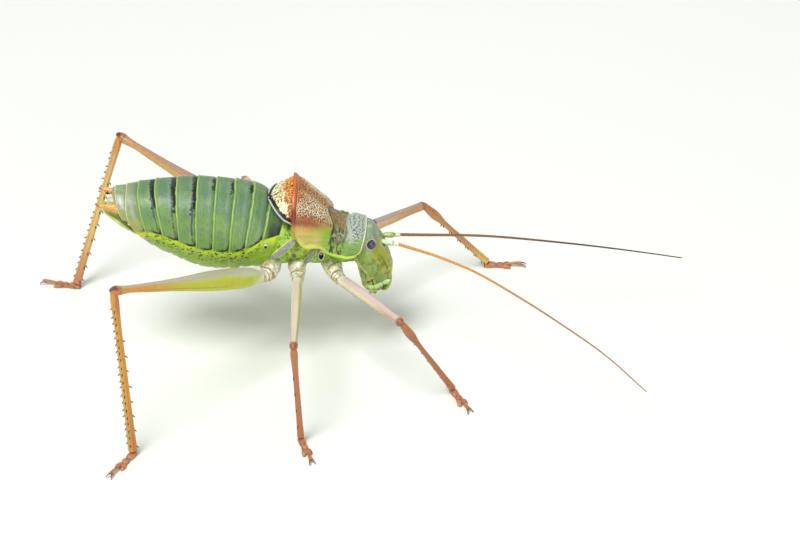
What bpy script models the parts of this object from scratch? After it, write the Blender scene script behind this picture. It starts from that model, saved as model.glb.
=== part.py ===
"""A saddle-backed bush cricket, a male at life size, standing with its head to +X and its back to +Z.

The stance is set out in millimetres from a point on the floor near the throat, with +Y on the animal's left.
Every mesh is made there, and its object is moved so that the middle of the whole insect's box, feelers and
feet included, stands over the origin. A section is a closed ring of points, and most pieces are lofts
through sections whose sizes glide between the rows of a short table.
"""

import math
import random

import bmesh
import bpy
import numpy as np

MM = 0.001  # one millimetre of the tables below, in metres
GAP = 0.3  # clear space between pieces that meet
MIDDLE = (-4.65, -1.35)  # middle of the insect's box in the stance, x and y
SEED = 11

UP = np.array((0.0, 0.0, 1.0))
LEFT = np.array((0.0, 1.0, 0.0))
AHEAD = np.array((1.0, 0.0, 0.0))

# Trunk tables. Each row: how far back the section's middle lies, its height above the floor, its reach up,
# down and to each side, and the degrees by which its top leans towards the head.
THORAX_ROWS = (
    (3.45, 10.05, 1.25, 1.3, 1.45, 25),
    (4.3, 10.3, 1.55, 1.7, 1.7, 24),
    (5.2, 10.7, 1.75, 2.05, 1.8, 22),
    (6.2, 11.1, 1.9, 2.35, 1.95, 21),
    (7.1, 11.5, 2.3, 2.65, 2.2, 21),
    (8.0, 11.85, 2.35, 2.9, 2.5, 22),
    (9.0, 12.1, 2.4, 3.1, 2.85, 23),
    (10.3, 12.25, 2.4, 3.2, 3.05, 25),
)
ABDOMEN_ROWS = (
    (10.63, 12.3, 2.45, 3.25, 3.08, 25),
    (11.4, 12.55, 2.4, 3.5, 3.3, 21),
    (11.8, 12.68, 2.6, 3.58, 3.42, 18.5),
    (12.15, 12.8, 3.22, 3.66, 3.5, 16.7),
    (12.9, 12.98, 3.76, 3.8, 3.6, 14),
    (14.2, 13.2, 3.92, 3.98, 3.65, 9.5),
    (15.6, 13.42, 3.97, 4.08, 3.65, 8),
    (17.0, 13.7, 3.88, 3.94, 3.6, 5),
    (18.4, 14.0, 3.65, 3.7, 3.35, 0),
    (19.8, 14.35, 3.32, 3.38, 3.05, -7),
    (21.3, 14.85, 2.75, 3.0, 2.6, -12),
    (22.4, 15.3, 2.18, 1.8, 2.1, -14),
    (23.0, 15.55, 1.9, 1.1, 1.8, -15),
    (23.6, 15.8, 1.6, 0.8, 1.45, -16),
)
# Where each back plate of the abdomen ends at its side, from the first plate to the tenth
PLATE_ENDS = (11.4, 12.9, 14.2, 15.6, 17.0, 18.4, 19.8, 21.25, 22.45, 23.3)
PLATE_RISE = 0.16  # how far a back plate stands over the next one behind its hind edge
PLATE_REACH = 97  # degrees from the top of the back down to a plate's lower edge
TRUNK_SIDES = 24

# Saddle: the same columns as the trunk, with the height of its lower edge in place of the reach down
SADDLE_ROWS = (
    (3.52, 10.1, 2.45, 10.5, 2.5, 25),
    (4.1, 10.3, 2.53, 10.5, 2.52, 24),
    (5.0, 10.65, 2.38, 10.65, 2.56, 21),
    (5.7, 10.95, 2.38, 11.0, 2.64, 18.5),
    (6.2, 11.18, 2.8, 11.4, 2.75, 17),
    (6.6, 11.38, 3.28, 11.85, 2.88, 15.5),
    (7.1, 11.6, 3.66, 12.1, 3.05, 13),
    (7.9, 11.95, 4.24, 12.3, 3.22, 11),
    (8.45, 12.15, 4.62, 13.1, 3.32, 9.5),
    (8.9, 12.3, 5.08, 15.0, 3.42, 8),
)
SADDLE_WALL = 0.5
SADDLE_BOX = 2.5  # how boxy a section is: 2 is an ellipse
SADDLE_FURROWS = ((4.8, 0.16, 0.2), (6.0, 0.14, 0.2))  # place, depth and half width of each cross furrow
SADDLE_GRID = (18, 19)

# Wing cases: a dome under the rear of the saddle, in the saddle's columns
DOME_ROWS = (
    (7.6, 11.9, 3.35, 0, 2.45, 11),
    (8.4, 12.15, 3.82, 0, 2.6, 9.5),
    (8.9, 12.22, 4.1, 0, 2.8, 8.7),
    (9.25, 12.3, 4.5, 0, 2.95, 8),
    (9.7, 12.33, 4.38, 0, 3.05, 7.5),
    (10.2, 12.35, 4.1, 0, 3.15, 7),
    (11.2, 12.35, 3.52, 0, 3.2, 6),
)
CASE_WALL = 0.45
CASE_BOX = 2.3
CASE_FRONT = 7.75  # where both cases start, hidden under the saddle
CASE_BACK = 10.8  # where their hind edge lies at the middle of the back
CASE_SIDE = 61  # degrees from the top of the back to the outer edge
CASE_LAP = 16  # degrees by which each case crosses the middle
CASE_VEINS = (0.2, 0.5, 0.8)  # where the long veins run, as parts of the way across
VEIN_HEIGHT = 0.14
VEIN_HALF_WIDTH = 0.055
CASE_GRID = (11, 21)

# Tail end. Each row of a plate: how far back, its height, half thickness and half width
UNDERPLATE_ROWS = (
    (22.9, 13.7, 0.24, 1.15),
    (23.5, 14.25, 0.3, 1.2),
    (24.1, 14.8, 0.3, 1.1),
    (24.7, 15.2, 0.24, 0.8),
    (25.1, 15.42, 0.15, 0.4),
)
UNDERPLATE_LEAN = 40
UNDERPLATE_CURL = 0.35  # how far its sides stand above its middle
TAIL_PLATE_ROWS = ((23.75, 16.5, 0.36, 0.7), (24.2, 16.62, 0.33, 0.62), (24.55, 16.6, 0.2, 0.35))
# The left cercus and the tooth on its inner side, with a radius at each point
CERCUS_PATH = ((-23.72, 1.2, 15.75), (-24.2, 1.5, 16.0), (-24.8, 1.72, 16.4), (-25.5, 1.72, 16.75))
CERCUS_RADII = (0.42, 0.44, 0.34, 0.1)
TOOTH_PATH = ((-24.7, 1.6, 16.35), (-24.95, 1.2, 16.3), (-25.1, 0.85, 16.35))
TOOTH_RADII = (0.25, 0.2, 0.06)

# Head: rows from the crown down. Each has its drop below the crown's height, the front and back of the
# section along the body, and its half width.
CROWN = 12.3
HEAD_ROWS = (
    (0.0, -2.02, -2.22, 0.5),
    (0.3, -1.78, -2.3, 1.2),
    (0.8, -1.55, -2.52, 1.55),
    (1.4, -1.42, -2.8, 1.72),
    (2.2, -1.12, -3.16, 1.98),
    (3.1, -0.82, -3.28, 2.16),
    (4.0, -0.68, -2.95, 2.02),
    (4.9, -0.7, -2.6, 1.72),
    (5.5, -0.82, -2.4, 1.4),
)
FACE_BOX = 2.2
NAPE_BOX = 3.4  # the back of the head is squarer, where it meets the saddle's front edge
HEAD_SIDES = 22
EYE_AT = (-2.14, 1.6, 11.13)  # the left eye's middle
EYE_RADIUS = 0.46
EYE_CLEARANCE = 0.2
HEAD_DROPS = (0.0, 0.15, 0.4, 0.8, 1.3, 1.8, 2.4, 3.1, 3.8, 4.5, 5.1, 5.5)

# Mouth. Each row: the height, the place along the body, half the depth and half the width. A mandible's last
# number is how far out its middle lies. The palps' points are the left ones'.
UPPER_LIP_ROWS = (
    (6.45, -1.12, 0.26, 0.8),
    (6.0, -1.22, 0.27, 0.78),
    (5.6, -1.45, 0.26, 0.62),
    (5.35, -1.65, 0.18, 0.35),
)
LOWER_LIP_ROWS = (
    (8.6, -3.6, 0.25, 0.7),
    (7.8, -3.35, 0.4, 0.95),
    (6.9, -3.15, 0.42, 0.95),
    (6.1, -3.1, 0.4, 0.85),
    (5.6, -3.0, 0.25, 0.55),
)
LIP_BOX = 2.4
MANDIBLE_ROWS = (
    (6.48, -1.95, 0.36, 0.55, 0.7),
    (6.1, -1.98, 0.36, 0.5, 0.65),
    (5.75, -2.05, 0.3, 0.36, 0.48),
    (5.5, -2.1, 0.12, 0.15, 0.36),
)
JAW_PALP_PATH = (
    (-2.95, 1.5, 6.9),
    (-2.75, 1.95, 6.95),
    (-2.3, 2.15, 7.05),
    (-1.6, 2.17, 7.3),
    (-0.9, 2.1, 7.62),
)
JAW_PALP_RADII = (0.24, 0.25, 0.25, 0.25, 0.22)
LIP_PALP_PATH = ((-2.9, 0.55, 5.05), (-2.75, 0.7, 4.65), (-2.4, 0.8, 4.35))
LIP_PALP_RADII = (0.24, 0.25, 0.2)

# Feelers: a thick first joint and a smaller second, then the long thread
FEELER_ROOT = (-1.02, 0.52, 10.62)
SCAPE_LENGTH = 0.75
SCAPE_RADIUS = 0.27
PEDICEL_LENGTH = 0.55
PEDICEL_RADIUS = 0.25
THREAD_RADIUS = 0.25
THREAD_TIP_RADIUS = 0.08
THREAD_RINGS = 30
THREAD_PATHS = {
    "right": ((0.75, -1.25, 10.6), (3.79, -3.0, 10.35), (6.92, -5.0, 9.9), (9.63, -7.0, 9.2),
              (13.97, -10.0, 7.55), (17.2, -12.2, 6.0), (20.6, -14.6, 3.6)),
    "left": ((0.75, 0.72, 10.4), (1.93, 0.8, 10.22), (7.1, 1.2, 9.47), (13.98, 1.6, 7.98),
             (19.15, 1.9, 6.66), (24.5, 2.2, 5.15)),
}

# Legs. For each pair: the hip on the left side where the coxa ends, the middle of the coxa's root inside
# the trunk, and the lengths of femur, tibia and foot.
LEG_PAIRS = {
    "fore": dict(hip=(-4.91, 3.15, 8.7), root=(-4.75, 1.0, 9.8), femur=8.72, tibia=9.3, foot=3.5),
    "mid": dict(hip=(-8.62, 4.1, 9.56), root=(-8.3, 1.6, 10.5), femur=9.58, tibia=9.13, foot=3.5),
    "hind": dict(hip=(-11.4, 3.72, 10.0), root=(-10.6, 1.6, 11.1), femur=16.1, tibia=15.8, foot=3.6),
}
# Bearings in degrees from +X towards +Y: the femur and its rise, then the tibia and the foot
LEG_POSE = {
    ("fore", "right"): (-53.0, 1.2, 21.8, -64.0),
    ("fore", "left"): (36.8, -3.9, 15.2, -5.8),
    ("mid", "right"): (-89.9, 0.3, -114.5, -72.0),
    ("mid", "left"): (124.3, 0.3, 60.2, 100.0),
    ("hind", "right"): (-140.1, 22.4, -97.9, -122.0),
    ("hind", "left"): (148.4, 18.6, -164.4, 164.0),
}
# Femur: part of its length, then its reach up, down and to each side
FEMUR_ROWS = {
    "fore": ((0.0, 0.42, 0.42, 0.4), (0.12, 0.5, 0.48, 0.42), (0.6, 0.45, 0.43, 0.38),
             (0.9, 0.43, 0.42, 0.37), (0.96, 0.48, 0.46, 0.4), (1.0, 0.46, 0.4, 0.38), (1.03, 0.3, 0.26, 0.25)),
    "hind": ((0.0, 0.5, 0.5, 0.42), (0.06, 0.8, 0.72, 0.58), (0.2, 0.98, 0.9, 0.66), (0.36, 0.9, 0.82, 0.6),
             (0.55, 0.6, 0.58, 0.42), (0.75, 0.38, 0.4, 0.31), (0.92, 0.33, 0.34, 0.3), (0.96, 0.42, 0.4, 0.4),
             (1.0, 0.44, 0.4, 0.4), (1.025, 0.28, 0.28, 0.26)),
}
FEMUR_ROWS["mid"] = FEMUR_ROWS["fore"]
# Tibia: part of its length, then half its thickness
TIBIA_ROWS = {
    "fore": ((0.0, 0.3), (0.05, 0.34), (0.1, 0.4), (0.17, 0.4), (0.24, 0.3), (0.6, 0.26),
             (0.9, 0.3), (1.0, 0.32)),
    "mid": ((0.0, 0.3), (0.06, 0.35), (0.15, 0.3), (0.6, 0.27), (0.9, 0.3), (1.0, 0.32)),
    "hind": ((0.0, 0.28), (0.03, 0.36), (0.1, 0.31), (0.6, 0.3), (0.93, 0.33), (1.0, 0.36)),
}
COXA_ROOT = {"fore": 0.95, "mid": 0.95, "hind": 1.2}  # radius of each pair's coxa at its root
COXA_END = 0.44  # radius of every coxa where it meets the femur
COXA_ELBOW = {"fore": 0.8, "mid": 0.8, "hind": 1.2}  # how far before the femur the coxa turns
FEMUR_SIDES = 10
TIBIA_SIDES = 8
ANKLE = 0.5  # height of the foot's top under the tibia's end
FOOT_HEEL = 0.32  # how far the foot reaches back under the tibia
# Foot joints: start and length as parts of the foot's, half width, height, and the side a pad turns to
FOOT_JOINTS = (
    (0.0, 0.34, 0.32, 0.5, 0),
    (0.3, 0.2, 0.3, 0.42, 0),
    (0.46, 0.22, 0.25, 0.34, -1),
    (0.46, 0.22, 0.25, 0.34, 1),
)
PAD_ASIDE = 0.1
PAD_TURN = 0.35
LAST_JOINT = ((0.5, 0.3, 0.16), (0.75, 0.38, 0.2), (0.97, 0.36, 0.2))  # place, height, radius
# place, how far aside, height, radius
CLAW = ((0.93, 0.08, 0.34, 0.14), (1.05, 0.25, 0.34, 0.11), (1.13, 0.33, 0.13, 0.04))

# Leg spines. For each pair, rows of: how many, the degrees round the tibia from its outer edge, the first
# and last place along it, and the length outside the skin.
SPINE_ROWS = {
    "fore": ((4, 150, 0.35, 0.95, 0.5), (4, -150, 0.35, 0.95, 0.5)),
    "mid": ((4, 150, 0.3, 0.95, 0.5), (4, -150, 0.3, 0.95, 0.5), (2, 30, 0.35, 0.75, 0.45)),
    "hind": ((9, 38, 0.14, 0.93, 0.5), (9, -38, 0.14, 0.93, 0.5),
             (4, 150, 0.4, 0.96, 0.6), (4, -150, 0.4, 0.96, 0.6)),
}
SPINE_RADIUS = 0.19
SPINE_TIP_RADIUS = 0.04
SPINE_SIDES = 5
SPINE_LEAN = 35  # degrees by which a spine leans towards the foot
SPINE_VARIES = 0.15

# Colours and roughness, by the first word or words of a node's name
FINISHES = {
    "abdomen": ((0.2, 0.32, 0.2), 0.4),
    "underplate": ((0.42, 0.4, 0.2), 0.45),
    "tail_plate": ((0.45, 0.36, 0.22), 0.45),
    "cercus": ((0.72, 0.33, 0.1), 0.45),
    "thorax": ((0.4, 0.5, 0.16), 0.45),
    "saddle": ((0.55, 0.36, 0.12), 0.5),
    "wing_case": ((0.8, 0.62, 0.3), 0.5),
    "head": ((0.3, 0.42, 0.16), 0.35),
    "eye": ((0.1, 0.08, 0.14), 0.15),
    "upper_lip": ((0.5, 0.5, 0.15), 0.4),
    "lower_lip": ((0.5, 0.52, 0.2), 0.45),
    "mandible": ((0.35, 0.2, 0.06), 0.35),
    "palp": ((0.45, 0.6, 0.3), 0.4),
    "scape": ((0.6, 0.7, 0.5), 0.4),
    "feeler": ((0.5, 0.2, 0.06), 0.5),
    "coxa": ((0.66, 0.58, 0.36), 0.45),
    "femur": ((0.68, 0.5, 0.36), 0.4),
    "tibia": ((0.6, 0.24, 0.07), 0.4),
    "foot": ((0.42, 0.13, 0.07), 0.45),
}


def side_sign(side):
    """The left side is +Y and the right side is -Y."""
    return 1 if side == "left" else -1


def mirrored(point, side):
    """A point of the left side, or its twin on the right."""
    return np.array((point[0], point[1] * side_sign(side), point[2]))


def unit(vector):
    """The vector at length one."""
    return vector / np.linalg.norm(vector)


def glide(rows, at):
    """Smooth values between the rows of a table whose first column rises."""
    table = np.asarray(rows, float)
    places, values = table[:, 0], table[:, 1:]
    slopes = np.gradient(values, places, axis=0)
    i = int(np.clip(np.searchsorted(places, at) - 1, 0, len(places) - 2))
    step = places[i + 1] - places[i]
    t = (at - places[i]) / step
    start = (2 * t**3 - 3 * t**2 + 1) * values[i] + (t**3 - 2 * t**2 + t) * step * slopes[i]
    end = (3 * t**2 - 2 * t**3) * values[i + 1] + (t**3 - t**2) * step * slopes[i + 1]
    return start + end


def round_box(angles, power):
    """The cosine and sine of the angles, drawn out towards a box as the power rises above 2."""
    cosine, sine = np.cos(angles), np.sin(angles)
    return np.sign(cosine) * np.abs(cosine) ** (2 / power), np.sign(sine) * np.abs(sine) ** (2 / power)


def ring(middle, up, side, high, low, wide, count, power=2.0):
    """A section: count points round middle, starting at the top."""
    angles = np.arange(count) * 2 * math.pi / count
    rise, out = round_box(angles, power)
    rise = rise * np.where(rise > 0, high, low)
    return middle + np.outer(rise, up) + np.outer(out * wide, side)


def leaning(degrees):
    """The up direction of a section whose top leans towards the head."""
    return np.array((math.sin(math.radians(degrees)), 0.0, math.cos(math.radians(degrees))))


def mesh_from(name, points, faces):
    """A mesh of points in millimetres, with its faces turned outwards."""
    mesh = bpy.data.meshes.new(name)
    mesh.from_pydata((np.asarray(points) * MM).tolist(), [], faces)
    shape = bmesh.new()
    shape.from_mesh(mesh)
    bmesh.ops.recalc_face_normals(shape, faces=shape.faces)
    shape.to_mesh(mesh)
    shape.free()
    mesh.shade_smooth()
    return mesh


def loft(name, rings):
    """A closed skin through rings of the same count, each end closed on the middle of its ring."""
    count = len(rings[0])
    points = np.concatenate([*rings, [rings[0].mean(axis=0)], [rings[-1].mean(axis=0)]])
    last = (len(rings) - 1) * count
    start, end = len(points) - 2, len(points) - 1
    faces = []
    for row in range(len(rings) - 1):
        for i in range(count):
            a, b = row * count + i, row * count + (i + 1) % count
            faces.append((a, b, b + count, a + count))
    for i in range(count):
        j = (i + 1) % count
        faces += [(start, j, i), (end, last + i, last + j)]
    return mesh_from(name, points, faces)


def sheet(name, outer, inner):
    """A thin closed wall between two grids of points, split into triangles alike on both faces."""
    rows, columns = outer.shape[:2]
    points = np.concatenate([outer.reshape(-1, 3), inner.reshape(-1, 3)])
    under = rows * columns
    faces = []
    for r in range(rows - 1):
        for c in range(columns - 1):
            a, b = r * columns + c, r * columns + c + 1
            d, e = a + columns, b + columns
            faces += [(a, b, e), (a, e, d)]
            faces += [(under + a, under + e, under + b), (under + a, under + d, under + e)]
    rim = list(range(columns)) + [r * columns + columns - 1 for r in range(1, rows)]
    rim += [(rows - 1) * columns + c for c in range(columns - 2, -1, -1)]
    rim += [r * columns for r in range(rows - 2, 0, -1)]
    for a, b in zip(rim, rim[1:] + rim[:1]):
        faces.append((a, b, under + b, under + a))
    return mesh_from(name, points, faces)


def tube_rings(path, radii, count):
    """Rings square to a path of points, with a radius at each."""
    path = np.asarray(path, float)
    runs = np.gradient(path, axis=0)
    rings = []
    for point, run, radius in zip(path, runs, radii):
        along = unit(run)
        side = unit(np.cross(along, UP if abs(along[2]) < 0.9 else LEFT))
        rings.append(ring(point, np.cross(side, along), side, radius, radius, radius, count))
    return rings


def place(name, mesh, collection):
    """The node of this name, set so that the insect's middle stands over the origin."""
    node = bpy.data.objects.new(name, mesh)
    node.location = (-MIDDLE[0] * MM, -MIDDLE[1] * MM, 0)
    collection.objects.link(node)
    return node


def settle(node):
    """Makes the node's modifiers its mesh."""
    graph = bpy.context.evaluated_depsgraph_get()
    mesh = bpy.data.meshes.new_from_object(node.evaluated_get(graph))
    node.modifiers.clear()
    node.data = mesh


def keep_largest(node):
    """Keeps the node's largest closed surface and drops any scrap or sealed hollow."""
    shape = bmesh.new()
    shape.from_mesh(node.data)
    left = set(shape.faces)
    islands = []
    while left:
        island, edge = set(), {left.pop()}
        while edge:
            island |= edge
            edge = {other for face in edge for e in face.edges for other in e.link_faces} - island
        left -= island
        islands.append(island)
    islands.sort(key=lambda island: sum(face.calc_area() for face in island))
    for island in islands[:-1]:
        bmesh.ops.delete(shape, geom=list(island), context="FACES")
    shape.to_mesh(node.data)
    shape.free()


def combine(node, meshes, operation):
    """One Boolean of the node with closed meshes, applied at once."""
    helpers = bpy.data.collections.new(node.name + "_pieces")
    helpers.hide_render = True
    bpy.context.scene.collection.children.link(helpers)
    for i, mesh in enumerate(meshes):
        helper = place(f"{node.name}_piece_{i}", mesh, helpers)
        helper.display_type = "WIRE"
        helper.hide_render = True
    boolean = node.modifiers.new("combine", "BOOLEAN")
    boolean.operation = operation
    boolean.operand_type = "COLLECTION"
    boolean.collection = helpers
    boolean.solver = "EXACT"
    bpy.context.view_layer.update()
    settle(node)
    for helper in list(helpers.objects):
        bpy.data.objects.remove(helper)
    bpy.data.collections.remove(helpers)
    keep_largest(node)


def trunk_ring(row, grow=0.0, plate=0.0):
    """A ring of the trunk from a table row, grown all round by grow and over the back plates by plate."""
    back, height, high, low, wide, lean = row
    middle = np.array((-back, 0, height))
    points = ring(middle, leaning(lean), LEFT, high + grow, low + grow, wide + grow, TRUNK_SIDES)
    turn = np.arange(TRUNK_SIDES) * 360 / TRUNK_SIDES
    on_plate = np.minimum(turn, 360 - turn) <= PLATE_REACH
    outward = points - middle
    outward /= np.linalg.norm(outward, axis=1)[:, None]
    return points + outward * (plate * on_plate)[:, None]


def trunk_rings(rows, count, grow=0.0):
    """Plain rings along a trunk table, drawn out past both ends by grow."""
    places = np.linspace(rows[0][0], rows[-1][0], count)
    rings = [trunk_ring((at, *glide(rows, at)), grow) for at in places]
    if grow:
        rings[0] = rings[0] + np.array((grow, 0, 0))
        rings[-1] = rings[-1] - np.array((grow, 0, 0))
    return rings


def abdomen_mesh():
    """Each back plate starts low under the one before it, swells, and stands over the next at its hind edge."""
    rings = [trunk_ring(ABDOMEN_ROWS[0])]
    start = ABDOMEN_ROWS[0][0]
    for end in PLATE_ENDS:
        length = end - start
        for part, plate in ((0.16, -0.4), (0.6, 0.3), (0.97, 1.0)):
            at = start + part * length
            rings.append(trunk_ring((at, *glide(ABDOMEN_ROWS, at)), plate=plate * PLATE_RISE))
        start = end
    rings.append(trunk_ring((PLATE_ENDS[-1], *glide(ABDOMEN_ROWS, PLATE_ENDS[-1])), grow=-GAP))
    return loft("abdomen", rings)


def arch_grid(rows, places, angles, box, inset=0.0):
    """Points over the back: places run from front to rear and angles, one row of them a place, across it."""
    grid = []
    for at, across in zip(places, angles):
        height, high, _, wide, lean = glide(rows, at)
        rise, out = round_box(across, box)
        over = np.outer(rise * (high - inset), leaning(lean)) + np.outer(out * (wide - inset), LEFT)
        grid.append(np.array((-at, 0, height)) + over)
    return np.array(grid)


def saddle_mesh():
    """The saddle: a bent wall over the back, with its lower edge, two furrows and a raised rear."""
    rows, columns = SADDLE_GRID
    places = np.linspace(SADDLE_ROWS[0][0], SADDLE_ROWS[-1][0], rows)
    angles = []
    for at in places:
        height, high, edge, _, lean = glide(SADDLE_ROWS, at)
        drop = np.clip((edge - height) / (high * math.cos(math.radians(lean))), -0.6, 0.95)
        reach = math.acos(np.sign(drop) * abs(drop) ** (SADDLE_BOX / 2))
        angles.append(np.linspace(-reach, reach, columns))
    outer = arch_grid(SADDLE_ROWS, places, angles, SADDLE_BOX)
    inner = arch_grid(SADDLE_ROWS, places, angles, SADDLE_BOX, SADDLE_WALL)
    inward = inner - outer
    inward /= np.linalg.norm(inward, axis=2)[:, :, None]
    dip = sum(depth * np.exp(-(((places - at) / half) ** 2)) for at, depth, half in SADDLE_FURROWS)
    return sheet("saddle", outer + inward * dip[:, None, None], inner + inward * dip[:, None, None])


def case_mesh(side):
    """One wing case: a wall on the dome, with its long veins raised. The left case lies over the right."""
    rows, columns = CASE_GRID
    across = np.radians(np.linspace(-CASE_LAP, CASE_SIDE, columns)) * side_sign(side)
    along = np.linspace(0, 1, rows)
    round_end = np.sqrt(1 - (np.abs(across) / math.radians(CASE_SIDE + 1.5)) ** 2)
    ends = CASE_FRONT + 1.0 + (CASE_BACK - CASE_FRONT - 1.0) * round_end
    places = CASE_FRONT + along[:, None] * (ends - CASE_FRONT)
    sink = np.zeros(columns)
    if side == "right":
        lapped = np.clip((math.radians(CASE_LAP + 14) + across) / math.radians(14), 0, 1)
        sink = (CASE_WALL + GAP) * lapped**2 * (3 - 2 * lapped)
    part = np.linspace(0, 1, columns)
    vein = sum(np.exp(-(((part - at) / VEIN_HALF_WIDTH) ** 2)) for at in CASE_VEINS)
    outer, inner = np.zeros((rows, columns, 3)), np.zeros((rows, columns, 3))
    for c in range(columns):
        spot = across[c : c + 1]
        for r in range(rows):
            outer[r, c] = arch_grid(DOME_ROWS, [places[r, c]], [spot], CASE_BOX, sink[c])[0, 0]
            inner[r, c] = arch_grid(DOME_ROWS, [places[r, c]], [spot], CASE_BOX, sink[c] + CASE_WALL)[0, 0]
    outward = outer - inner
    outward /= np.linalg.norm(outward, axis=2)[:, :, None]
    fade = np.sin(np.clip(along * 1.15, 0, 1) * math.pi)[:, None, None]
    return sheet(f"wing_case_{side}", outer + outward * fade * (VEIN_HEIGHT * vein)[None, :, None], inner)


def head_ring(drop):
    """A level section of the head: rounder in front than behind."""
    front, back, wide = glide(HEAD_ROWS, drop)
    middle = np.array((back + 0.4 * (front - back), 0, CROWN - drop))
    angles = np.arange(HEAD_SIDES) * 2 * math.pi / HEAD_SIDES
    ahead, out = round_box(angles, FACE_BOX)
    behind, out_behind = round_box(angles, NAPE_BOX)
    faces_on = ahead > 0
    reach = np.where(faces_on, ahead * (front - middle[0]), behind * (middle[0] - back))
    spread = np.where(faces_on, out, out_behind) * wide
    return middle + np.outer(reach, AHEAD) + np.outer(spread, LEFT)


def ball(name, middle, radius, count=14):
    """A closed ball."""
    shape = bmesh.new()
    bmesh.ops.create_uvsphere(shape, u_segments=count, v_segments=count * 2 // 3, radius=radius * MM)
    bmesh.ops.translate(shape, verts=shape.verts, vec=[value * MM for value in middle])
    mesh = bpy.data.meshes.new(name)
    shape.to_mesh(mesh)
    shape.free()
    mesh.shade_smooth()
    return mesh


def spine_mesh(name, root, along, length):
    """A tapered spine of few sides that starts at root and runs along a direction."""
    radii = (SPINE_RADIUS, SPINE_RADIUS * 0.72, SPINE_TIP_RADIUS)
    path = [root + along * length * part for part in (0, 0.5, 1)]
    return loft(name, tube_rings(path, radii, SPINE_SIDES))


def make_trunk(collection):
    """The trunk: abdomen, thorax, saddle and the two wing cases under its rear edge."""
    place("abdomen", abdomen_mesh(), collection)
    place("thorax", loft("thorax", trunk_rings(THORAX_ROWS, 12)), collection)
    place("saddle", saddle_mesh(), collection)
    for side in ("left", "right"):
        place(f"wing_case_{side}", case_mesh(side), collection)


def plate_mesh(name, rows, lean, curl, count):
    """A plate over the tail end: leaning sections along its rows, with its sides curled up."""
    rings = []
    for back, height, half, wide in rows:
        section = ring(np.array((-back, 0, height)), leaning(lean), LEFT, half, half, wide, count)
        rings.append(section + np.outer(curl * (section[:, 1] / wide) ** 2, UP))
    return loft(name, rings)


def make_tail(collection):
    """The male's tail end: the plate below, the small plate between the cerci, and the two cerci."""
    below = plate_mesh("underplate", UNDERPLATE_ROWS, UNDERPLATE_LEAN, UNDERPLATE_CURL, 12)
    place("underplate", below, collection)
    place("tail_plate", plate_mesh("tail_plate", TAIL_PLATE_ROWS, 0, 0, 10), collection)
    for side in ("left", "right"):
        path = [mirrored(point, side) for point in CERCUS_PATH]
        cercus = place(f"cercus_{side}", loft(f"cercus_{side}", tube_rings(path, CERCUS_RADII, 10)), collection)
        tooth = [mirrored(point, side) for point in TOOTH_PATH]
        combine(cercus, [loft("tooth", tube_rings(tooth, TOOTH_RADII, 6))], "UNION")


def make_head(collection):
    """The head with a socket cut for each eye, and the two eyes."""
    head = place("head", loft("head", [head_ring(drop) for drop in HEAD_DROPS]), collection)
    sockets = [ball("socket", mirrored(EYE_AT, side), EYE_RADIUS + EYE_CLEARANCE) for side in ("left", "right")]
    combine(head, sockets, "DIFFERENCE")
    for side in ("left", "right"):
        place(f"eye_{side}", ball(f"eye_{side}", mirrored(EYE_AT, side), EYE_RADIUS), collection)


def mouth_mesh(name, rows, side, count, box):
    """A mouth piece: level sections down its rows, set out to its side where the rows say so."""
    rings = []
    for height, along, half, wide, *out in rows:
        middle = mirrored((along, out[0] if out else 0, height), side)
        rings.append(ring(middle, AHEAD, LEFT, half, half, wide, count, box))
    return loft(name, rings)


def make_mouth(collection):
    """The lips, the mandibles between them, and the palps."""
    place("upper_lip", mouth_mesh("upper_lip", UPPER_LIP_ROWS, "left", 10, LIP_BOX), collection)
    place("lower_lip", mouth_mesh("lower_lip", LOWER_LIP_ROWS, "left", 12, LIP_BOX), collection)
    palps = (("jaw_palp", JAW_PALP_PATH, JAW_PALP_RADII), ("lip_palp", LIP_PALP_PATH, LIP_PALP_RADII))
    for side in ("left", "right"):
        name = f"mandible_{side}"
        place(name, mouth_mesh(name, MANDIBLE_ROWS, side, 10, 2.0), collection)
        for words, path, radii in palps:
            name = f"{words}_{side}"
            place(name, loft(name, tube_rings([mirrored(point, side) for point in path], radii, 8)), collection)


def smooth_path(points, count):
    """A smooth path of count points through the given ones, by their distance along it."""
    points = np.asarray(points, float)
    along = np.concatenate([[0], np.cumsum(np.linalg.norm(np.diff(points, axis=0), axis=1))])
    rows = np.column_stack([along, points])
    return [glide(rows, at) for at in np.linspace(0, along[-1], count)]


def make_feelers(collection):
    """Each feeler: first and second joints in one node, then the thread."""
    for side in ("left", "right"):
        root = mirrored(FEELER_ROOT, side)
        start = np.array(THREAD_PATHS[side][0])
        along = unit(start - root)
        scape_end = root + along * SCAPE_LENGTH
        pedicel_end = scape_end + along * PEDICEL_LENGTH
        path = (root, root + along * 0.15, scape_end - along * 0.12)
        path += (scape_end, scape_end + along * 0.1, pedicel_end)
        radii = (SCAPE_RADIUS * 0.9, SCAPE_RADIUS, SCAPE_RADIUS)
        radii += (PEDICEL_RADIUS * 0.92, PEDICEL_RADIUS, PEDICEL_RADIUS)
        place(f"scape_{side}", loft(f"scape_{side}", tube_rings(path, radii, 8)), collection)
        path = smooth_path([pedicel_end + along * GAP, *THREAD_PATHS[side][1:]], THREAD_RINGS)
        thin = np.linspace(0, 1, THREAD_RINGS) ** 3
        radii = THREAD_RADIUS + (THREAD_TIP_RADIUS - THREAD_RADIUS) * thin
        place(f"feeler_{side}", loft(f"feeler_{side}", tube_rings(path, radii, 6)), collection)


def bearing(turn, rise=0.0):
    """The direction of a bearing and a rise, both in degrees."""
    turn, rise = math.radians(turn), math.radians(rise)
    return np.array((math.cos(turn) * math.cos(rise), math.sin(turn) * math.cos(rise), math.sin(rise)))


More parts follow.
